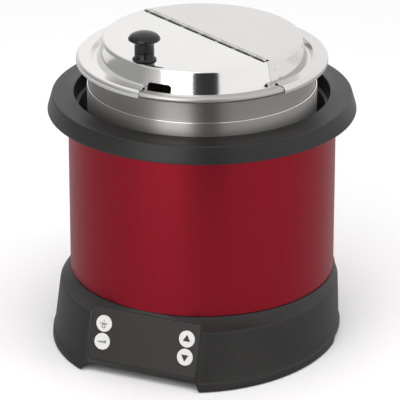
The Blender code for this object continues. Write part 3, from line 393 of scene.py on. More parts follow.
finishes = makeFinishes()
print("finishes made")


base = {
    "skirtHeight": 1.0, "bandTop": 8.5, "bandStep": 1.2, "bandEdge": 0.5,
    "footRadius": 133.85, "shoulderRadius": 132.45, "shoulderHeight": 55.7, "shoulderRound": 2.4,
    "footSwell": 29.0, "shoulderSwell": 15.0, "swellPower": 3,
    "collar": 129.55, "top": 64.7, "deckUnder": 58.7, "shelf": 61.7, "throat": 105.2, "recess": 117.5,
    "spigot": (124.1, 126.9, 71.7), "wall": 3.0,
    "panelTop": (0, -129.0, 61.5), "panelTilt": 16.3, "panelHalf": 57.0, "sideRun": 1.625,
    "pocketDepth": 1.3, "cutReach": 64.0, "cutDrop": 84.0,
    "frontArch": (7.5, 5.0, 130.0), "sideArch": (6.0, 9.0, 87.0, 400.0), "archUnder": 4.0,
    "glandHeight": 30.0, "glandHole": 8.3, "glandOut": 128.0,
}
overlay = {"half": 55.8, "length": 51.0, "corner": 3.0, "thickness": 1.0, "fit": 0.3}
button = {
    "radius": 8.1, "column": 43.0, "rowDown": 15.4, "pitch": 17.4, "proud": 0.7, "thickness": 3.6,
    "stem": 2.6, "stemEnd": -11.6, "fit": 0.3, "edge": 0.6,
}

panelLean = Matrix.Rotation(math.radians(90 - base["panelTilt"]), 4, "X")
panelPlace = Matrix.Translation(Vector(base["panelTop"]) * mm) @ panelLean
buttonSpots = {
    "power": (-button["column"], -button["rowDown"]),
    "mode": (-button["column"], -button["rowDown"] - button["pitch"]),
    "up": (button["column"], -button["rowDown"]),
    "down": (button["column"], -button["rowDown"] - button["pitch"]),
}


def between(foot, shoulder, height):
    # a size that changes evenly from the foot to the shoulder
    rise = min(max(height / base["shoulderHeight"], 0), 1)
    return foot + (shoulder - foot) * rise


def wallRadius(height):
    return between(base["footRadius"], base["shoulderRadius"], height)


def swell(piece, topHeight, least=120.0):
    # the wall grows forwards from round at the rear, more at the foot than at the shoulder
    for vertex in piece.data.vertices:
        radius = vertex.co.xy.length
        height = vertex.co.z / mm
        if radius < least * mm or height > topHeight:
            continue
        amount = between(base["footSwell"], base["shoulderSwell"], height)
        forward = ((1 - vertex.co.y / radius) / 2) ** base["swellPower"]
        scale = (radius + amount * forward * mm) / radius
        vertex.co.x *= scale
        vertex.co.y *= scale


def panelCutter(name, behind):
    # everything in front of a plane behind the panel's face, between sides that slope outwards
    half, reach, drop = base["panelHalf"] + behind, base["cutReach"] + behind, base["cutDrop"]
    cutter = block(name, (2 * half, 2 * drop, reach), (0, -drop / 4, reach / 2 - behind))
    editing(cutter)
    pick(cutter, "FACE", lambda face: face.normal.z > 0.9)
    wider = (half + reach * base["sideRun"]) / half
    bpy.ops.transform.resize(value=(wider, 1, 1), center_override=(0, 0, 0))
    doneEditing()
    return settle(cutter, panelPlace)


def baseShell():
    band, edge, top = base["bandStep"], base["bandEdge"], base["bandTop"]
    shoulder, rounding = base["shoulderHeight"], base["shoulderRound"]
    inner, outer, spigotTop = base["spigot"]
    section = [
        (base["throat"], base["skirtHeight"]),
        (wallRadius(0) + band - edge, base["skirtHeight"]),
        (wallRadius(top) + band, top - 2 * edge),
        (wallRadius(top) + band - edge, top),
        (wallRadius(top), top + edge),
        (wallRadius(0.35 * shoulder), 0.35 * shoulder),
        (wallRadius(0.7 * shoulder), 0.7 * shoulder),
    ]
    for across, up in bend((0, 0), rounding, 0, 90, 6):
        section.append((wallRadius(shoulder) - (rounding - across) / 2, shoulder - rounding + up))
    section += [
        (base["collar"] + edge, base["top"] - edge),
        (base["collar"], base["top"]),
        (outer, base["top"]),
        (outer, spigotTop),
        (inner, spigotTop),
        (inner, base["top"]),
        (base["recess"], base["top"]),
        (base["recess"], base["shelf"]),
        (base["throat"], base["shelf"]),
    ]
    shell = turn("baseShell", section)
    swell(shell, shoulder + 0.01)
    carve(shell, panelCutter("panelFace", 0))

    wall, under = base["wall"], base["archUnder"]
    hollow = [
        (0, -under),
        (wallRadius(0) - wall, -under),
        (wallRadius(top) - wall, top),
        (wallRadius(shoulder) - wall, shoulder - wall),
        (base["collar"] - 1, base["deckUnder"]),
        (0, base["deckUnder"]),
    ]
    core = turn("baseCore", hollow, closed=False)
    swell(core, shoulder + 0.01 - wall)
    carve(core, panelCutter("panelBack", base["pocketDepth"] + wall))
    carve(shell, core)

    pocket = roundedPlate("pocket", overlay["fit"], 2 * base["pocketDepth"])
    settle(pocket, panelPlace)
    holes = []
    for name, spot in buttonSpots.items():
        hole = rod(name + "Hole", button["radius"] + button["fit"], 40, (*spot, 0), 48)
        holes.append(settle(hole, panelPlace))
    height, slope, length = base["frontArch"]
    half = base["panelHalf"]
    frontArch = block("frontArch", (2 * half, length, height + under), (0, -length, (height - under) / 2))
    widenBelow(frontArch, ((half + slope * (height + under) / (height - base["skirtHeight"])) / half, 1, 1), 0)
    height, start, end, length = base["sideArch"]
    middle, half = (start + end) / 2, (end - start) / 2
    sideArch = block("sideArch", (length, 2 * half, height + under), (0, middle, (height - under) / 2))
    widenBelow(sideArch, (1, (half + height + under) / half, 1), middle)
    gland = rod("glandHole", base["glandHole"], 40, (0, 0, 0), 48)
    glandPlace = Matrix.Translation(place(base["glandOut"], 180, base["glandHeight"]))
    settle(gland, glandPlace @ Matrix.Rotation(math.pi / 2, 4, "X"))
    carve(shell, pocket, *holes, frontArch, sideArch, gland)
    soften(shell, 0.35, 2, 40)
    smooth(shell, 32)
    return shell


def widenBelow(piece, scale, middle):
    # opens a cutter out towards its lower face
    editing(piece)
    pick(piece, "FACE", lambda face: face.normal.z < -0.9)
    bpy.ops.transform.resize(value=scale, center_override=(0, middle * mm, 0))
    doneEditing()


def roundedPlate(name, grow, thickness):
    # a plate with rounded corners, its middle at height zero, hanging from the panel's top edge
    width, length = 2 * (overlay["half"] + grow), overlay["length"] + 2 * grow
    plate = block(name, (width, length, thickness), (0, -overlay["length"] / 2, 0))
    editing(plate)
    points = plate.data.vertices

    def upright(edge):
        first, second = edge.vertices
        return abs(points[first].co.z - points[second].co.z) > 0.5 * thickness * mm

    pick(plate, "EDGE", upright)
    bpy.ops.mesh.bevel(offset=(overlay["corner"] + grow) * mm, segments=8, affect="EDGES")
    doneEditing()
    return plate


def panelOverlay():
    plate = roundedPlate("panelOverlay", 0, overlay["thickness"])
    for name, spot in buttonSpots.items():
        carve(plate, rod(name + "Window", button["radius"] + button["fit"], 20, (*spot, 0), 64))
    soften(plate, 0.22, 1, 40)
    bpy.ops.object.shade_flat()  # smooth shading streaks across its flat face
    return settle(plate, panelPlace @ Matrix.Translation((0, 0, -overlay["thickness"] / 2 * mm)))


shell = baseShell()
dress(shell, finishes["moulding"], "housing", "moulding", "base_housing")
plate = panelOverlay()
dress(plate, finishes["film"], "housing", "panel_film", "panel_overlay")
print("base made")


sign = {
    "raise": 0.06, "sink": 0.05, "depth": 0.3, "edge": 0.06, "triangle": 4.3,
    "bar": (7.6, 0.8), "line": (0.5, 2.2, 2.6), "ring": (1.3, 2.0, -2.7),
    "tick": (0.75, 2.6), "ticks": 7, "tickPitch": 1.25, "tickGrowth": (0.45, 0.1),
}


def buttonPlace(name):
    return panelPlace @ Matrix.Translation(Vector((*buttonSpots[name], 0)) * mm)


def buttonCap(name):
    # slightly dished on top, with a round edge
    radius, proud, edge = button["radius"], button["proud"], button["edge"]
    low, stem, end = proud - button["thickness"], button["stem"], button["stemEnd"]
    section = [(0, proud - 0.2 * edge), (0.6 * radius, proud - 0.08), (radius - 1.5 * edge, proud)]
    section += bend((radius - edge, proud - edge), edge, 80, 0, 5)
    section += [(radius, low), (stem, low), (stem, end), (0, end)]
    cap = turn(name, section, closed=False, count=64)
    smooth(cap)
    return cap


def triangleSign(name, upwards):
    height = button["proud"] + sign["raise"] / 2
    bpy.ops.object.select_all(action="DESELECT")
    bpy.ops.mesh.primitive_cylinder_add(
        vertices=3, radius=sign["triangle"] * mm, depth=sign["raise"] * 4 * mm, location=(0, 0, height * mm),
        rotation=(0, 0, 0 if upwards else math.pi),
    )
    mark = bpy.context.object
    mark.name = name
    settle(mark)
    soften(mark, 0.08, 1, 50)
    return mark


def powerSign(name):
    # a bar with a short line above it and a ring below
    height, depth = button["proud"] - sign["sink"], sign["depth"]
    width, thick = sign["bar"]
    bar = block(name, (width, thick, depth), (0, 0, height))
    width, tall, up = sign["line"]
    merge(bar, block(name + "Line", (width, tall, depth), (0, up, height)))
    soften(bar, sign["edge"], 1, 50)
    inner, outer, up = sign["ring"]
    low, high = height - depth / 2, height + depth / 2
    ring = turn(name + "Ring", [(inner, low), (outer, low), (outer, high), (inner, high)], count=40)
    settle(ring, Matrix.Translation((0, up * mm, 0)))
    return merge(bar, ring)


def levelSign(name):
    # a row of ticks, each taller than the one before
    height = button["proud"] - sign["sink"]
    width, tall = sign["tick"]
    least, growth = sign["tickGrowth"]
    marks = []
    for step in range(sign["ticks"]):
        length = tall * (least + growth * step)
        centre = ((step - (sign["ticks"] - 1) / 2) * sign["tickPitch"], (length - tall) / 2, height)
        marks.append(block(f"{name}{step}", (width, length, sign["depth"]), centre))
    merge(*marks)
    soften(marks[0], sign["edge"], 1, 50)
    return marks[0]


def buttonSign(name):
    if name == "power":
        return powerSign("powerSign"), finishes["greyInk"]
    if name == "mode":
        return levelSign("modeSign"), finishes["greyInk"]
    return triangleSign(name + "Sign", name == "up"), finishes["ink"]


caps = {"power": buttonCap("powerCap")}
for name in buttonSpots:
    if name not in caps:
        caps[name] = copyOf(caps["power"], name + "Cap")
    mark, ink = buttonSign(name)
    dress(settle(mark, buttonPlace(name)), ink, name + "_key", "button_white")
for name, cap in caps.items():
    dress(settle(cap, buttonPlace(name)), finishes["cap"], name + "_key", "button_white", name + "_button")
print("buttons made")


foot = {
    "radius": 11.0, "topRadius": 9.4, "top": 7.7, "edge": 1.0, "cup": (4.5, 5.1, 0.5),
    "circle": 100.0, "azimuth": 52.0,
}
inlet = {
    "seat": 134.2, "flange": 2.5, "flangeRadius": 11.5, "edge": 1.2, "neck": 8.0,
    "nut": 129.6, "nutRadius": 10.0, "nutDepth": 6.0, "bore": 4.2,
}


def rubberFoot(name):
    radius, topRadius, top, edge = foot["radius"], foot["topRadius"], foot["top"], foot["edge"]
    cupRadius, cupEdge, cupDepth = foot["cup"]
    section = [(0, cupDepth), (cupRadius, cupDepth), (cupEdge, 0), (radius - 1.2 * edge, 0)]
    section += bend((radius - edge, edge), edge, -80, 0, 5)
    section += [(radius - 0.1, 2.2), (topRadius + 0.6, top - 0.5), (topRadius, top), (0, top)]
    piece = turn(name, section, closed=False, count=56)
    smooth(piece)
    return piece


footAngles = {
    "FrontLeft": -foot["azimuth"], "FrontRight": foot["azimuth"],
    "RearLeft": foot["azimuth"] - 180, "RearRight": 180 - foot["azimuth"],
}
footNodes = {
    "FrontLeft": "foot_front_left", "FrontRight": "foot_front_right",
    "RearLeft": "foot_rear_left", "RearRight": "foot_rear_right",
}
feet = {"FrontLeft": rubberFoot("footFrontLeft")}
for corner in ("FrontRight", "RearLeft", "RearRight"):
    feet[corner] = copyOf(feet["FrontLeft"], "foot" + corner)
for corner, piece in feet.items():
    settle(piece, Matrix.Translation(place(foot["circle"], footAngles[corner])))
    dress(piece, finishes["rubber"], "housing", "foot_rubber", footNodes[corner])


def cordInlet():
    seat, nut, end = inlet["seat"], inlet["nut"], inlet["nut"] - inlet["nutDepth"]
    bore, neck, nutRadius = inlet["bore"], inlet["neck"], inlet["nutRadius"]
    flange, edge = inlet["flangeRadius"], inlet["edge"]
    front = seat + inlet["flange"]
    section = [(bore, front - edge / 2), (bore + edge / 2, front), (flange - edge - 0.4, front)]
    section += bend((flange - edge, front - edge), edge, 80, 0, 5)
    section += [(flange, seat), (neck, seat), (neck, nut), (nutRadius, nut), (nutRadius, end), (bore, end)]
    piece = turn("cordInlet", section, count=64)
    smooth(piece)
    lift = Matrix.Translation((0, 0, base["glandHeight"] * mm))
    return settle(piece, lift @ Matrix.Rotation(-math.pi / 2, 4, "X"))


dress(cordInlet(), finishes["moulding"], "housing", "moulding", "cord_gland")
print("feet and inlet made")


body = {
    "sleeve": (127.25, 128.45, 65.0, 239.9),
    "ringInner": 122.5, "ringTop": 245.0, "ringBevel": (128.0, 243.5), "ringDeck": 136.0,
    "ringCrease": (144.0, 243.2), "creaseRound": 1.5, "ringLow": (148.0, 226.8), "ringHem": 1.5,
    "ringWall": 3.0, "ringEdge": 1.2, "ringCollar": (119.6, 126.9, 225.8), "ringLedge": 229.0,
    "liner": (118.1, 119.3, 67.3, 230.5), "linerFlange": (122.2, 1.2),
}


def outerSleeve():
    inner, outer, low, top = body["sleeve"]
    section = [(inner, low), (outer - 0.25, low), (outer, low + 0.25)]
    section += [(outer, (low + top) / 2), (outer, top), (inner, top)]
    sleeve = turn("outerSleeve", section)
    smooth(sleeve)
    return sleeve


def topRing():
    inner, top, ledge, edge = body["ringInner"], body["ringTop"], body["ringLedge"], body["ringEdge"]
    creaseR, creaseZ = body["ringCrease"]
    lowR, lowZ = body["ringLow"]
    wall, rounding = body["ringWall"], body["creaseRound"]
    collarIn, collarOut, collarLow = body["ringCollar"]
    section = [(inner, ledge)]
    section += bend((inner + edge, top - edge), edge, 180, 75, 6)
    section += [body["ringBevel"], (body["ringDeck"], creaseZ + 0.25)]
    section += bend((creaseR - rounding, creaseZ - rounding), rounding, 88, 14, 7)
    section += [
        (lowR - 0.1, lowZ + body["ringHem"]), (lowR, lowZ + 0.8), (lowR - 0.4, lowZ), (lowR - wall, lowZ),
        (creaseR - wall, creaseZ - wall), (collarOut, creaseZ - wall), (collarOut, collarLow),
        (collarIn, collarLow), (collarIn, ledge),
    ]
    ring = turn("topRing", section)
    smooth(ring, 25)
    return ring


def wellLiner():
    inner, outer, low, top = body["liner"]
    flange, thick = body["linerFlange"]
    section = [
        (inner, low), (inner, top - 0.6), (inner + 0.2, top - 0.2), (inner + 0.6, top), (flange - 0.2, top),
        (flange, top - 0.2), (flange, top - thick), (outer, top - thick), (outer, low),
    ]
    liner = turn("wellLiner", section)
    smooth(liner)
    return liner


dress(outerSleeve(), finishes["paint"], "housing", "red_paint", "outer_sleeve")
dress(topRing(), finishes["ring"], "housing", "moulding", "top_ring")
dress(wellLiner(), finishes["liner"], "housing", "moulding", "well_liner")
print("sleeve, ring and well made")


inset = {
    "low": 66.3, "jacketFloor": 2.0, "jacketIn": 108.6, "jacketOut": 110.0, "jacketTop": 253.4,
    "edge": 0.8, "corner": 10.0, "neck": 108.3, "wall": 0.8, "fit": 0.3,
    "rim": 278.0, "tubeCircle": 115.9, "tube": 3.0, "roll": 2.2, "sheet": 0.6, "brightFrom": 110.0,
}


def highlightOrRimFaces(piece, wanted):
    # the faces that take the second finish: the brighter polished steel as a painted highlight on the jacket,
    # the rim's own steel on the pan
    for face in piece.data.polygons:
        face.material_index = 1 if wanted(face) else 0


def insetJacket():
    inner, outer, low, corner = inset["jacketIn"], inset["jacketOut"], inset["low"], inset["corner"]
    top, edge = inset["jacketTop"], inset["edge"]
    floor = low + inset["jacketFloor"]
    inside = corner - (outer - inner)
    section = [(0, floor)]
    section += bend((inner - inside, floor + inside), inside, -90, 0, 8)
    section += [(inner, top - 0.5), (inner + 0.4, top)]
    section += bend((outer - edge, top - edge), edge, 90, 0, 6)
    section += bend((outer - corner, low + corner), corner, 0, -90, 8)
    section += [(0, low)]
    jacket = turn("insetJacket", section, closed=False)
    smooth(jacket)
    # the upward faces of the top edge take the brighter polished steel: a painted highlight on the ledge
    highlightOrRimFaces(jacket, lambda face: face.normal.z > 0.2 and face.center.z > (top - 1.5 * edge) * mm)
    return jacket


def insetPan():
    outer, wall, tube = inset["neck"], inset["wall"], inset["tube"]
    inner = outer - wall
    low = inset["low"] + inset["jacketFloor"] + inset["fit"]
    corner = inset["corner"] - (inset["jacketOut"] - inset["jacketIn"]) - inset["fit"]
    shelf = inset["rim"] + tube - wall
    under = shelf - inset["sheet"]
    roll, centre = inset["roll"], (inset["tubeCircle"], inset["rim"])
    section = [(0, low + wall)]
    section += bend((inner - corner + wall, low + corner), corner - wall, -90, 0, 8)
    section += bend((inner + roll + wall, shelf - roll), roll + wall, 180, 90, 6)
    section += bend(centre, tube, 90, -170, 22)
    section += [
        (centre[0] - tube + 0.4, under), (outer + roll, under), (outer + roll * 0.3, under - roll * 0.3),
        (outer, under - roll),
    ]
    section += bend((outer - corner, low + corner), corner, 0, -90, 8)
    section += [(0, low)]
    pan = turn("insetPan", section, closed=False)
    smooth(pan, 40)
    rimLow, rimFrom = (inset["rim"] - tube) * mm, inset["brightFrom"] * mm
    highlightOrRimFaces(pan, lambda face: face.center.z > rimLow and face.center.xy.length > rimFrom)
    return pan


jacket = insetJacket()
dress(jacket, finishes["satin"], "inset", "satin_steel", "inset_jacket")
# second slot: the brighter polished steel, a painted highlight on the top edge
jacket.data.materials.append(finishes["steel"])
pan = insetPan()
dress(pan, finishes["satin"], "inset", "satin_steel", "inset_pan", "inset_rim")
pan.data.materials.append(finishes["rim"])
print("inset made")


lid = {
    "top": 299.0, "sheet": 0.9, "flat": 92.0, "corner": 4.0, "flare": 4.0, "channel": 4.0, "channelDrop": 1.2,
    "lipDrop": 2.2, "neckFit": 1.5, "fit": 0.3,
    "hingeAzimuth": -28.0, "hingeBack": 3.0, "hingeHalf": 91.0, "pin": 0.9, "barrel": 1.75, "barrelLift": 0.7,
    "knuckles": 14, "knuckleGap": 0.8, "leaf": (0.36, 1.4, 1.58), "room": (-4.6, 3.1, 8.0), "roomEnds": 1.0,
    "blank": (300.0, 120.0), "notch": (24.0, 6.5, 3.2), "notchBlock": (4.4, 80.0, -95.0),
    "weld": (1.5, 0.35), "welds": ((68.2, 291.5), (71.4, 282.5)), "skirtSlope": 13.0,
    "lipCut": (101.6, 126.0, 272.0, 283.6), "lipFrom": 5.6, "lipTo": 66.0,
}
hingeTurn = Matrix.Rotation(math.radians(lid["hingeAzimuth"] + 180), 4, "Z")
hingeHeight = lid["top"] + lid["barrelLift"] - lid["sheet"] / 2
hingePlace = Matrix.Translation(place(lid["hingeBack"], lid["hingeAzimuth"] + 180, hingeHeight)) @ hingeTurn


def lidSection():
    sheet, rim = lid["sheet"], inset["rim"]
    crown = (lid["flat"], lid["top"] - lid["corner"])
    channelZ = rim - lid["channelDrop"]
    skirt = lid["flat"] + lid["corner"] + lid["flare"]
    channel = skirt + lid["channel"]
    tube, over = (inset["tubeCircle"], rim), inset["tube"] + lid["fit"]
    climb = inset["neck"] - inset["wall"] - lid["neckFit"]
    outside = [(0, lid["top"])]
    outside += bend(crown, lid["corner"], 90, 10, 8)
    outside += [
        (skirt - 0.5, channelZ + 1.6), (skirt + 0.2, channelZ + 0.3), (skirt + 1.2, channelZ),
        (channel - 1.0, channelZ), (channel, channelZ + 0.4), (climb, rim + over + sheet + lid["fit"]),
    ]
    outside += bend(tube, over + sheet, 100, 0, 12)
    outside += [(tube[0] + over + sheet, rim - lid["lipDrop"])]
    inside = [(tube[0] + over, rim - lid["lipDrop"])]
    inside += bend(tube, over, 0, 100, 12)
    inside += [
        (climb + sheet / 2, rim + over + lid["fit"]), (channel + sheet / 2, channelZ - sheet),
        (skirt - sheet, channelZ - sheet),
    ]
    inside += bend(crown, lid["corner"] - sheet, 10, 90, 6)
    inside += [(0, lid["top"] - sheet)]
    return outside + inside


def alongHinge(name, radius, length, middle=0.0, count=24, edge=0.0):
    piece = rod(name, radius, length, (0, 0, 0), count, edge)
    shift = Matrix.Translation((middle * mm, 0, 0))
    return settle(piece, hingePlace @ shift @ Matrix.Rotation(math.pi / 2, 4, "Y"))


def spotWeld(name, azimuth, height):
    # a low round mark on the skirt, near the end of the hinge
    radius, proud = lid["weld"]
    foot, crown = lid["flat"] + lid["corner"], lid["top"] - lid["corner"]
    reach = foot + lid["flare"] * (crown - height) / (crown - inset["rim"])
    mark = rod(name, radius, 2 * proud, (0, 0, 0), 20, 0.2)
    around = Matrix.Rotation(math.radians(azimuth), 4, "Z")
    lean = Matrix.Rotation(math.radians(90 - lid["skirtSlope"]), 4, "X")
    return settle(mark, Matrix.Translation(place(reach, azimuth, height)) @ around @ lean)


def lipSector():
    # what the flap's lip leaves out beside the notch
    inner, outer, low, high = lid["lipCut"]
    cutter = turn("lipSector", [(inner, low), (outer, low), (outer, high), (inner, high)])
    editing(cutter)
    for azimuth, way in ((lid["lipFrom"], 1), (lid["lipTo"], -1)):
        bpy.ops.mesh.select_all(action="SELECT")
        bpy.ops.mesh.bisect(
            plane_co=(0, 0, 0), plane_no=place(1, azimuth + 90) * way / mm, use_fill=True, clear_inner=True,
        )
    closeUp()
    return cutter


def ladleNotch():
    # an opening in the flap's lip with slanted upper corners
    width, height, slant = lid["notch"]
    below, depth, middle = lid["notchBlock"]
    low, top = inset["rim"] - below, inset["rim"] + height
    notch = block("notch", (width, depth, top - low), (0, middle, (top + low) / 2))
    editing(notch)
    points = notch.data.vertices

    def upperSide(edge):
        first, second = (points[index].co for index in edge.vertices)
        level = min(first.z, second.z) > top * mm - 0.0001
        return level and abs(first.x - second.x) < 0.0001

    pick(notch, "EDGE", upperSide)
    bpy.ops.mesh.bevel(offset=slant * mm, segments=3, affect="EDGES")
    doneEditing()
    return notch


def knuckles(name, side):
    # every other barrel of the hinge, each with the leaf that ties it to its half of the lid
    behind, ahead = lid["room"][:2]
    share, overlap, drop = lid["leaf"]
    pitch = 2 * lid["hingeHalf"] / lid["knuckles"]
    reach = (ahead if side > 0 else -behind) + overlap
    leafSize, length = (share * pitch, reach, lid["sheet"]), pitch - lid["knuckleGap"]
    made = []
    for index in range(1 if side > 0 else 0, lid["knuckles"], 2):
        middle = (index - (lid["knuckles"] - 1) / 2) * pitch
        made.append(alongHinge(f"{name}Knuckle{index}", lid["barrel"], length, middle, 24, 0.2))
        leaf = block(f"{name}Leaf{index}", leafSize, (middle, side * reach / 2, -drop))
        made.append(settle(leaf, hingePlace))
    return made


def lidHalf(name, side):
    # side 1 is the flap and -1 the rear half
    half = turn(name, lidSection(), closed=False)
    size, tall = lid["blank"]
    other = block(name + "Other", (size, size, tall), (0, side * (lid["fit"] - size) / 2, 0))
    behind, ahead, deep = lid["room"]
    long = 2 * (lid["hingeHalf"] + lid["roomEnds"])
    room = block(name + "Room", (long, ahead - behind, deep), (0, (ahead + behind) / 2, 0))
    carve(half, settle(other, hingePlace), settle(room, hingePlace))
    extras = knuckles(name, side)
    if side == 1:
        carve(half, ladleNotch(), lipSector())
    else:
        extras += [spotWeld(f"weld{index}", *spot) for index, spot in enumerate(lid["welds"])]
    merge(half, *extras)
    smooth(half, 32)
    return half


lidRear = lidHalf("lidRear", -1)
lidFlap = lidHalf("lidFlap", 1)
# the rear half takes the darker copy of the polished steel: painted shade
dress(lidRear, finishes["steelRear"], "lid", "polished_steel", "lid_rear")
dress(lidFlap, finishes["steel"], "flap", "polished_steel", "lid_flap")
pin = alongHinge("hingePin", lid["pin"], 2 * lid["hingeHalf"], count=20, edge=0.25)
smooth(pin)
dress(pin, finishes["steel"], "lid", "polished_steel", "hinge_pin")
print("lid made")


knob = {
    "circle": 84.0, "azimuth": -16.0, "seat": 299.3, "foot": 11.4, "stem": 9.3, "cap": 15.2,
    "split": 8.0, "bore": 2.3, "boreTop": 15.0, "widest": 20.5, "under": 17.0, "height": 27.0,
    "screw": 2.0, "screwHead": 1.6,
}


def knobFootSection():
    seat, foot, stem, bore = knob["seat"], knob["foot"], knob["stem"], knob["bore"]
    split = seat + knob["split"]
    return [
        (bore, seat), (foot - 0.3, seat), (foot, seat + 0.3), (foot, seat + 0.9), (foot - 0.4, seat + 1.3),
        (stem + 0.8, seat + 1.9), (stem, seat + 3.2),
        (stem, split - 0.25), (stem - 0.25, split), (bore, split),
    ]


def knobCapSection():
    seat, cap, stem, bore = knob["seat"], knob["cap"], knob["stem"], knob["bore"]
    split, top, widest = seat + knob["split"], seat + knob["height"], seat + knob["widest"]
    boreTop, under = seat + knob["boreTop"], seat + knob["under"]
    return [
        (0, top), (cap * 0.2, top - 0.1), (cap * 0.4, top - 0.5), (cap * 0.58, top - 1.15),
        (cap * 0.75, top - 2.2), (cap * 0.87, top - 3.3), (cap * 0.95, widest + 1.6),
        (cap * 0.99, widest + 0.7), (cap, widest),
        (cap * 0.985, widest - 0.6), (cap * 0.94, widest - 1.1), (cap * 0.8, widest - 1.9),
        (stem + 0.6, under), (stem, under - 1.2),
        (stem, split + 0.55), (stem - 0.25, split + 0.3), (bore, split + 0.3),
        (bore, boreTop), (0, boreTop),
    ]


def knobScrewSection():
    radius, top = knob["screw"], knob["seat"] + knob["boreTop"] - 0.3
    under = lid["top"] - lid["sheet"] - lid["fit"]
    end = under - knob["screwHead"]
    return [
        (0, top), (radius - 0.3, top), (radius, top - 0.4), (radius, under), (2 * radius, under),
        (2 * radius, under - 0.6), (1.5 * radius, end), (0, end),
    ]


def knobPiece(name, section, closed, count):
    piece = turn(name, section, closed, count)
    smooth(piece, 40)
    return settle(piece, Matrix.Translation(place(knob["circle"], knob["azimuth"])))


knobFoot = knobPiece("knobFoot", knobFootSection(), True, 72)
knobCap = knobPiece("knobCap", knobCapSection(), False, 72)
knobScrew = knobPiece("knobScrew", knobScrewSection(), False, 32)
dress(knobFoot, finishes["phenolic"], "flap", "knob_phenolic", "knob_base")
dress(knobCap, finishes["phenolic"], "flap", "knob_phenolic", "knob_cap")
dress(knobScrew, finishes["zinc"], "flap", "zinc", "knob_screw")
print("knob made")


# the inner pieces keep their frame solids and take a finish
carried = {
    "moulding": ["base_plate", "coil_bobbin"],
    "rubber": ["well_gasket"],
    "glass": ["coil_cover"],
    "winding": ["induction_coil"],
    "ferrite": [f"ferrite_bar_{number}" for number in range(1, 7)],
    "aluminium": ["temperature_sensor", "heat_sink"],
    "board": ["control_board", "power_board"],
    "film": ["display_module"],
    "fan": ["fan_frame", "fan_rotor"],
    "zinc": [f"base_screw_{number}" for number in range(1, 5)],
}
for finishName, nodes in carried.items():
    for nodeName in nodes:
        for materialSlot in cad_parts[nodeName].material_slots:
            materialSlot.material = finishes[finishName]
print("inner pieces finished")


studio = {
    "floor": 6000.0, "lens": 279.0, "sensor": 36.0, "distance": 3010.0, "azimuth": 23.7, "elevation": 23.0,
    "aimHeight": 129.6, "aimSide": -1.94, "lightAim": 150.0,
    "flag": (330, 900, 700, 3.5, 0.012), "table": (2400, 0.42),
    "cardThickness": (10, 0.4), "cardLift": 0.1,
    "dimSide": (-0.970, -0.242, 0), "dimming": ((0.40, 1.0), (0.85, 0.35)),
}


def lookingUp(azimuth, elevation):
    # the direction from the kettle to something that stands around it
    around, rise = math.radians(azimuth), math.radians(elevation)
    return Vector((math.sin(around) * math.cos(rise), -math.cos(around) * math.cos(rise), math.sin(rise)))


def addToScene(name, data):
    item = bpy.data.objects.new(name, data)
    bpy.context.scene.collection.objects.link(item)
    return item


def softBox(name, size, power, azimuth, elevation, distance, glossy=True):
    lightData = bpy.data.lights.new(name, "AREA")
    lightData.shape = "RECTANGLE"
    lightData.size, lightData.size_y = size
    lightData.energy = power
    light = addToScene(name, lightData)
    light.visible_camera = False
    light.visible_glossy = glossy
    reach = lookingUp(azimuth, elevation)
    light.location = Vector((0, 0, studio["lightAim"] * mm)) + reach * distance
    light.rotation_euler = (-reach).to_track_quat("-Z", "Y").to_euler()


def makeFloor():
    bpy.ops.object.select_all(action="DESELECT")
    bpy.ops.mesh.primitive_plane_add(size=studio["floor"] * mm, location=(0, 0, 0))
    floor = bpy.context.object
    floor.name = "floor"
    finish = Finish("paleFloor", (0.86, 0.86, 0.86), 0.85)
    finish.vary(finish.noise(40, 3.0), 0.1)
    floor.data.materials.append(finish.material)


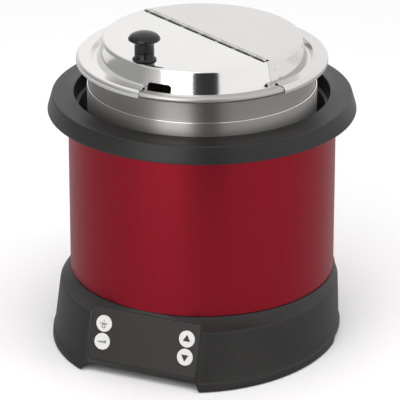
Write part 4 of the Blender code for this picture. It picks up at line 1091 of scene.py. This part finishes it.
def makeWorld():
    # white to the camera, and dimmer on one side for everything else
    world = bpy.data.worlds.new("studio")
    bpy.context.scene.world = world
    world.use_nodes = True
    sky = world.node_tree
    sideways = sky.nodes.new("ShaderNodeVectorMath")
    sideways.operation = "DOT_PRODUCT"
    sideways.inputs[1].default_value = studio["dimSide"]
    sky.links.new(sky.nodes.new("ShaderNodeTexCoord").outputs["Generated"], sideways.inputs[0])
    fade = sky.nodes.new("ShaderNodeValToRGB")
    for stop, (position, shade) in zip(fade.color_ramp.elements, studio["dimming"]):
        stop.position = position
        stop.color = (shade, shade, shade, 1)
    seen = sky.nodes.new("ShaderNodeMix")
    seen.data_type = "RGBA"
    seen.inputs[7].default_value = (1, 1, 1, 1)
    sky.links.new(sideways.outputs["Value"], fade.inputs["Fac"])
    sky.links.new(sky.nodes.new("ShaderNodeLightPath").outputs["Is Camera Ray"], seen.inputs[0])
    sky.links.new(fade.outputs["Color"], seen.inputs[6])
    sky.links.new(seen.outputs[2], sky.nodes["Background"].inputs["Color"])
    sky.nodes["Background"].inputs["Strength"].default_value = 1.0
    bpy.context.scene.view_settings.view_transform = "Standard"


def card(name, size, centre, shade, turnBy=0.0):
    # a card that only the reflections see
    piece = block(name, size, centre)
    settle(piece, Matrix.Rotation(math.radians(turnBy), 4, "Z"))
    finish = Finish(name + "Cloth", (shade, shade, shade), 0.9)
    finish.vary(finish.noise(60, 2.0), 0.1)
    piece.data.materials.append(finish.material)
    piece.visible_camera = piece.visible_diffuse = piece.visible_shadow = False


def makeCamera():
    azimuth, elevation = studio["azimuth"], studio["elevation"]
    forward = -lookingUp(azimuth, elevation)
    target = place(studio["aimSide"], azimuth + 90, studio["aimHeight"])
    cameraData = bpy.data.cameras.new("camera")
    cameraData.lens = studio["lens"]
    cameraData.sensor_width = studio["sensor"]
    cameraData.clip_end = 50
    camera = addToScene("camera", cameraData)
    camera.location = target - forward * studio["distance"] * mm
    camera.rotation_euler = forward.to_track_quat("-Z", "Y").to_euler()
    bpy.context.scene.camera = camera


makeFloor()
makeWorld()
standing, lying = studio["cardThickness"]
width, height, distance, offset, shade = studio["flag"]
card("darkFlag", (width, standing, height), (0, -distance, height / 2), shade, studio["azimuth"] + offset)
width, shade = studio["table"]
card("greyTable", (width, width, lying), (0, 0, studio["cardLift"] + lying / 2), shade)

softBox("topBox", (1.6, 1.6), 14, 10, 80, 1.8, glossy=False)
softBox("keyBox", (0.72, 1.5), 4.8, studio["azimuth"] - 26.5, 27, 1.2)
softBox("rightBox", (0.5, 1.4), 3, 95, 25, 2.0, glossy=False)
makeCamera()
print("studio set")
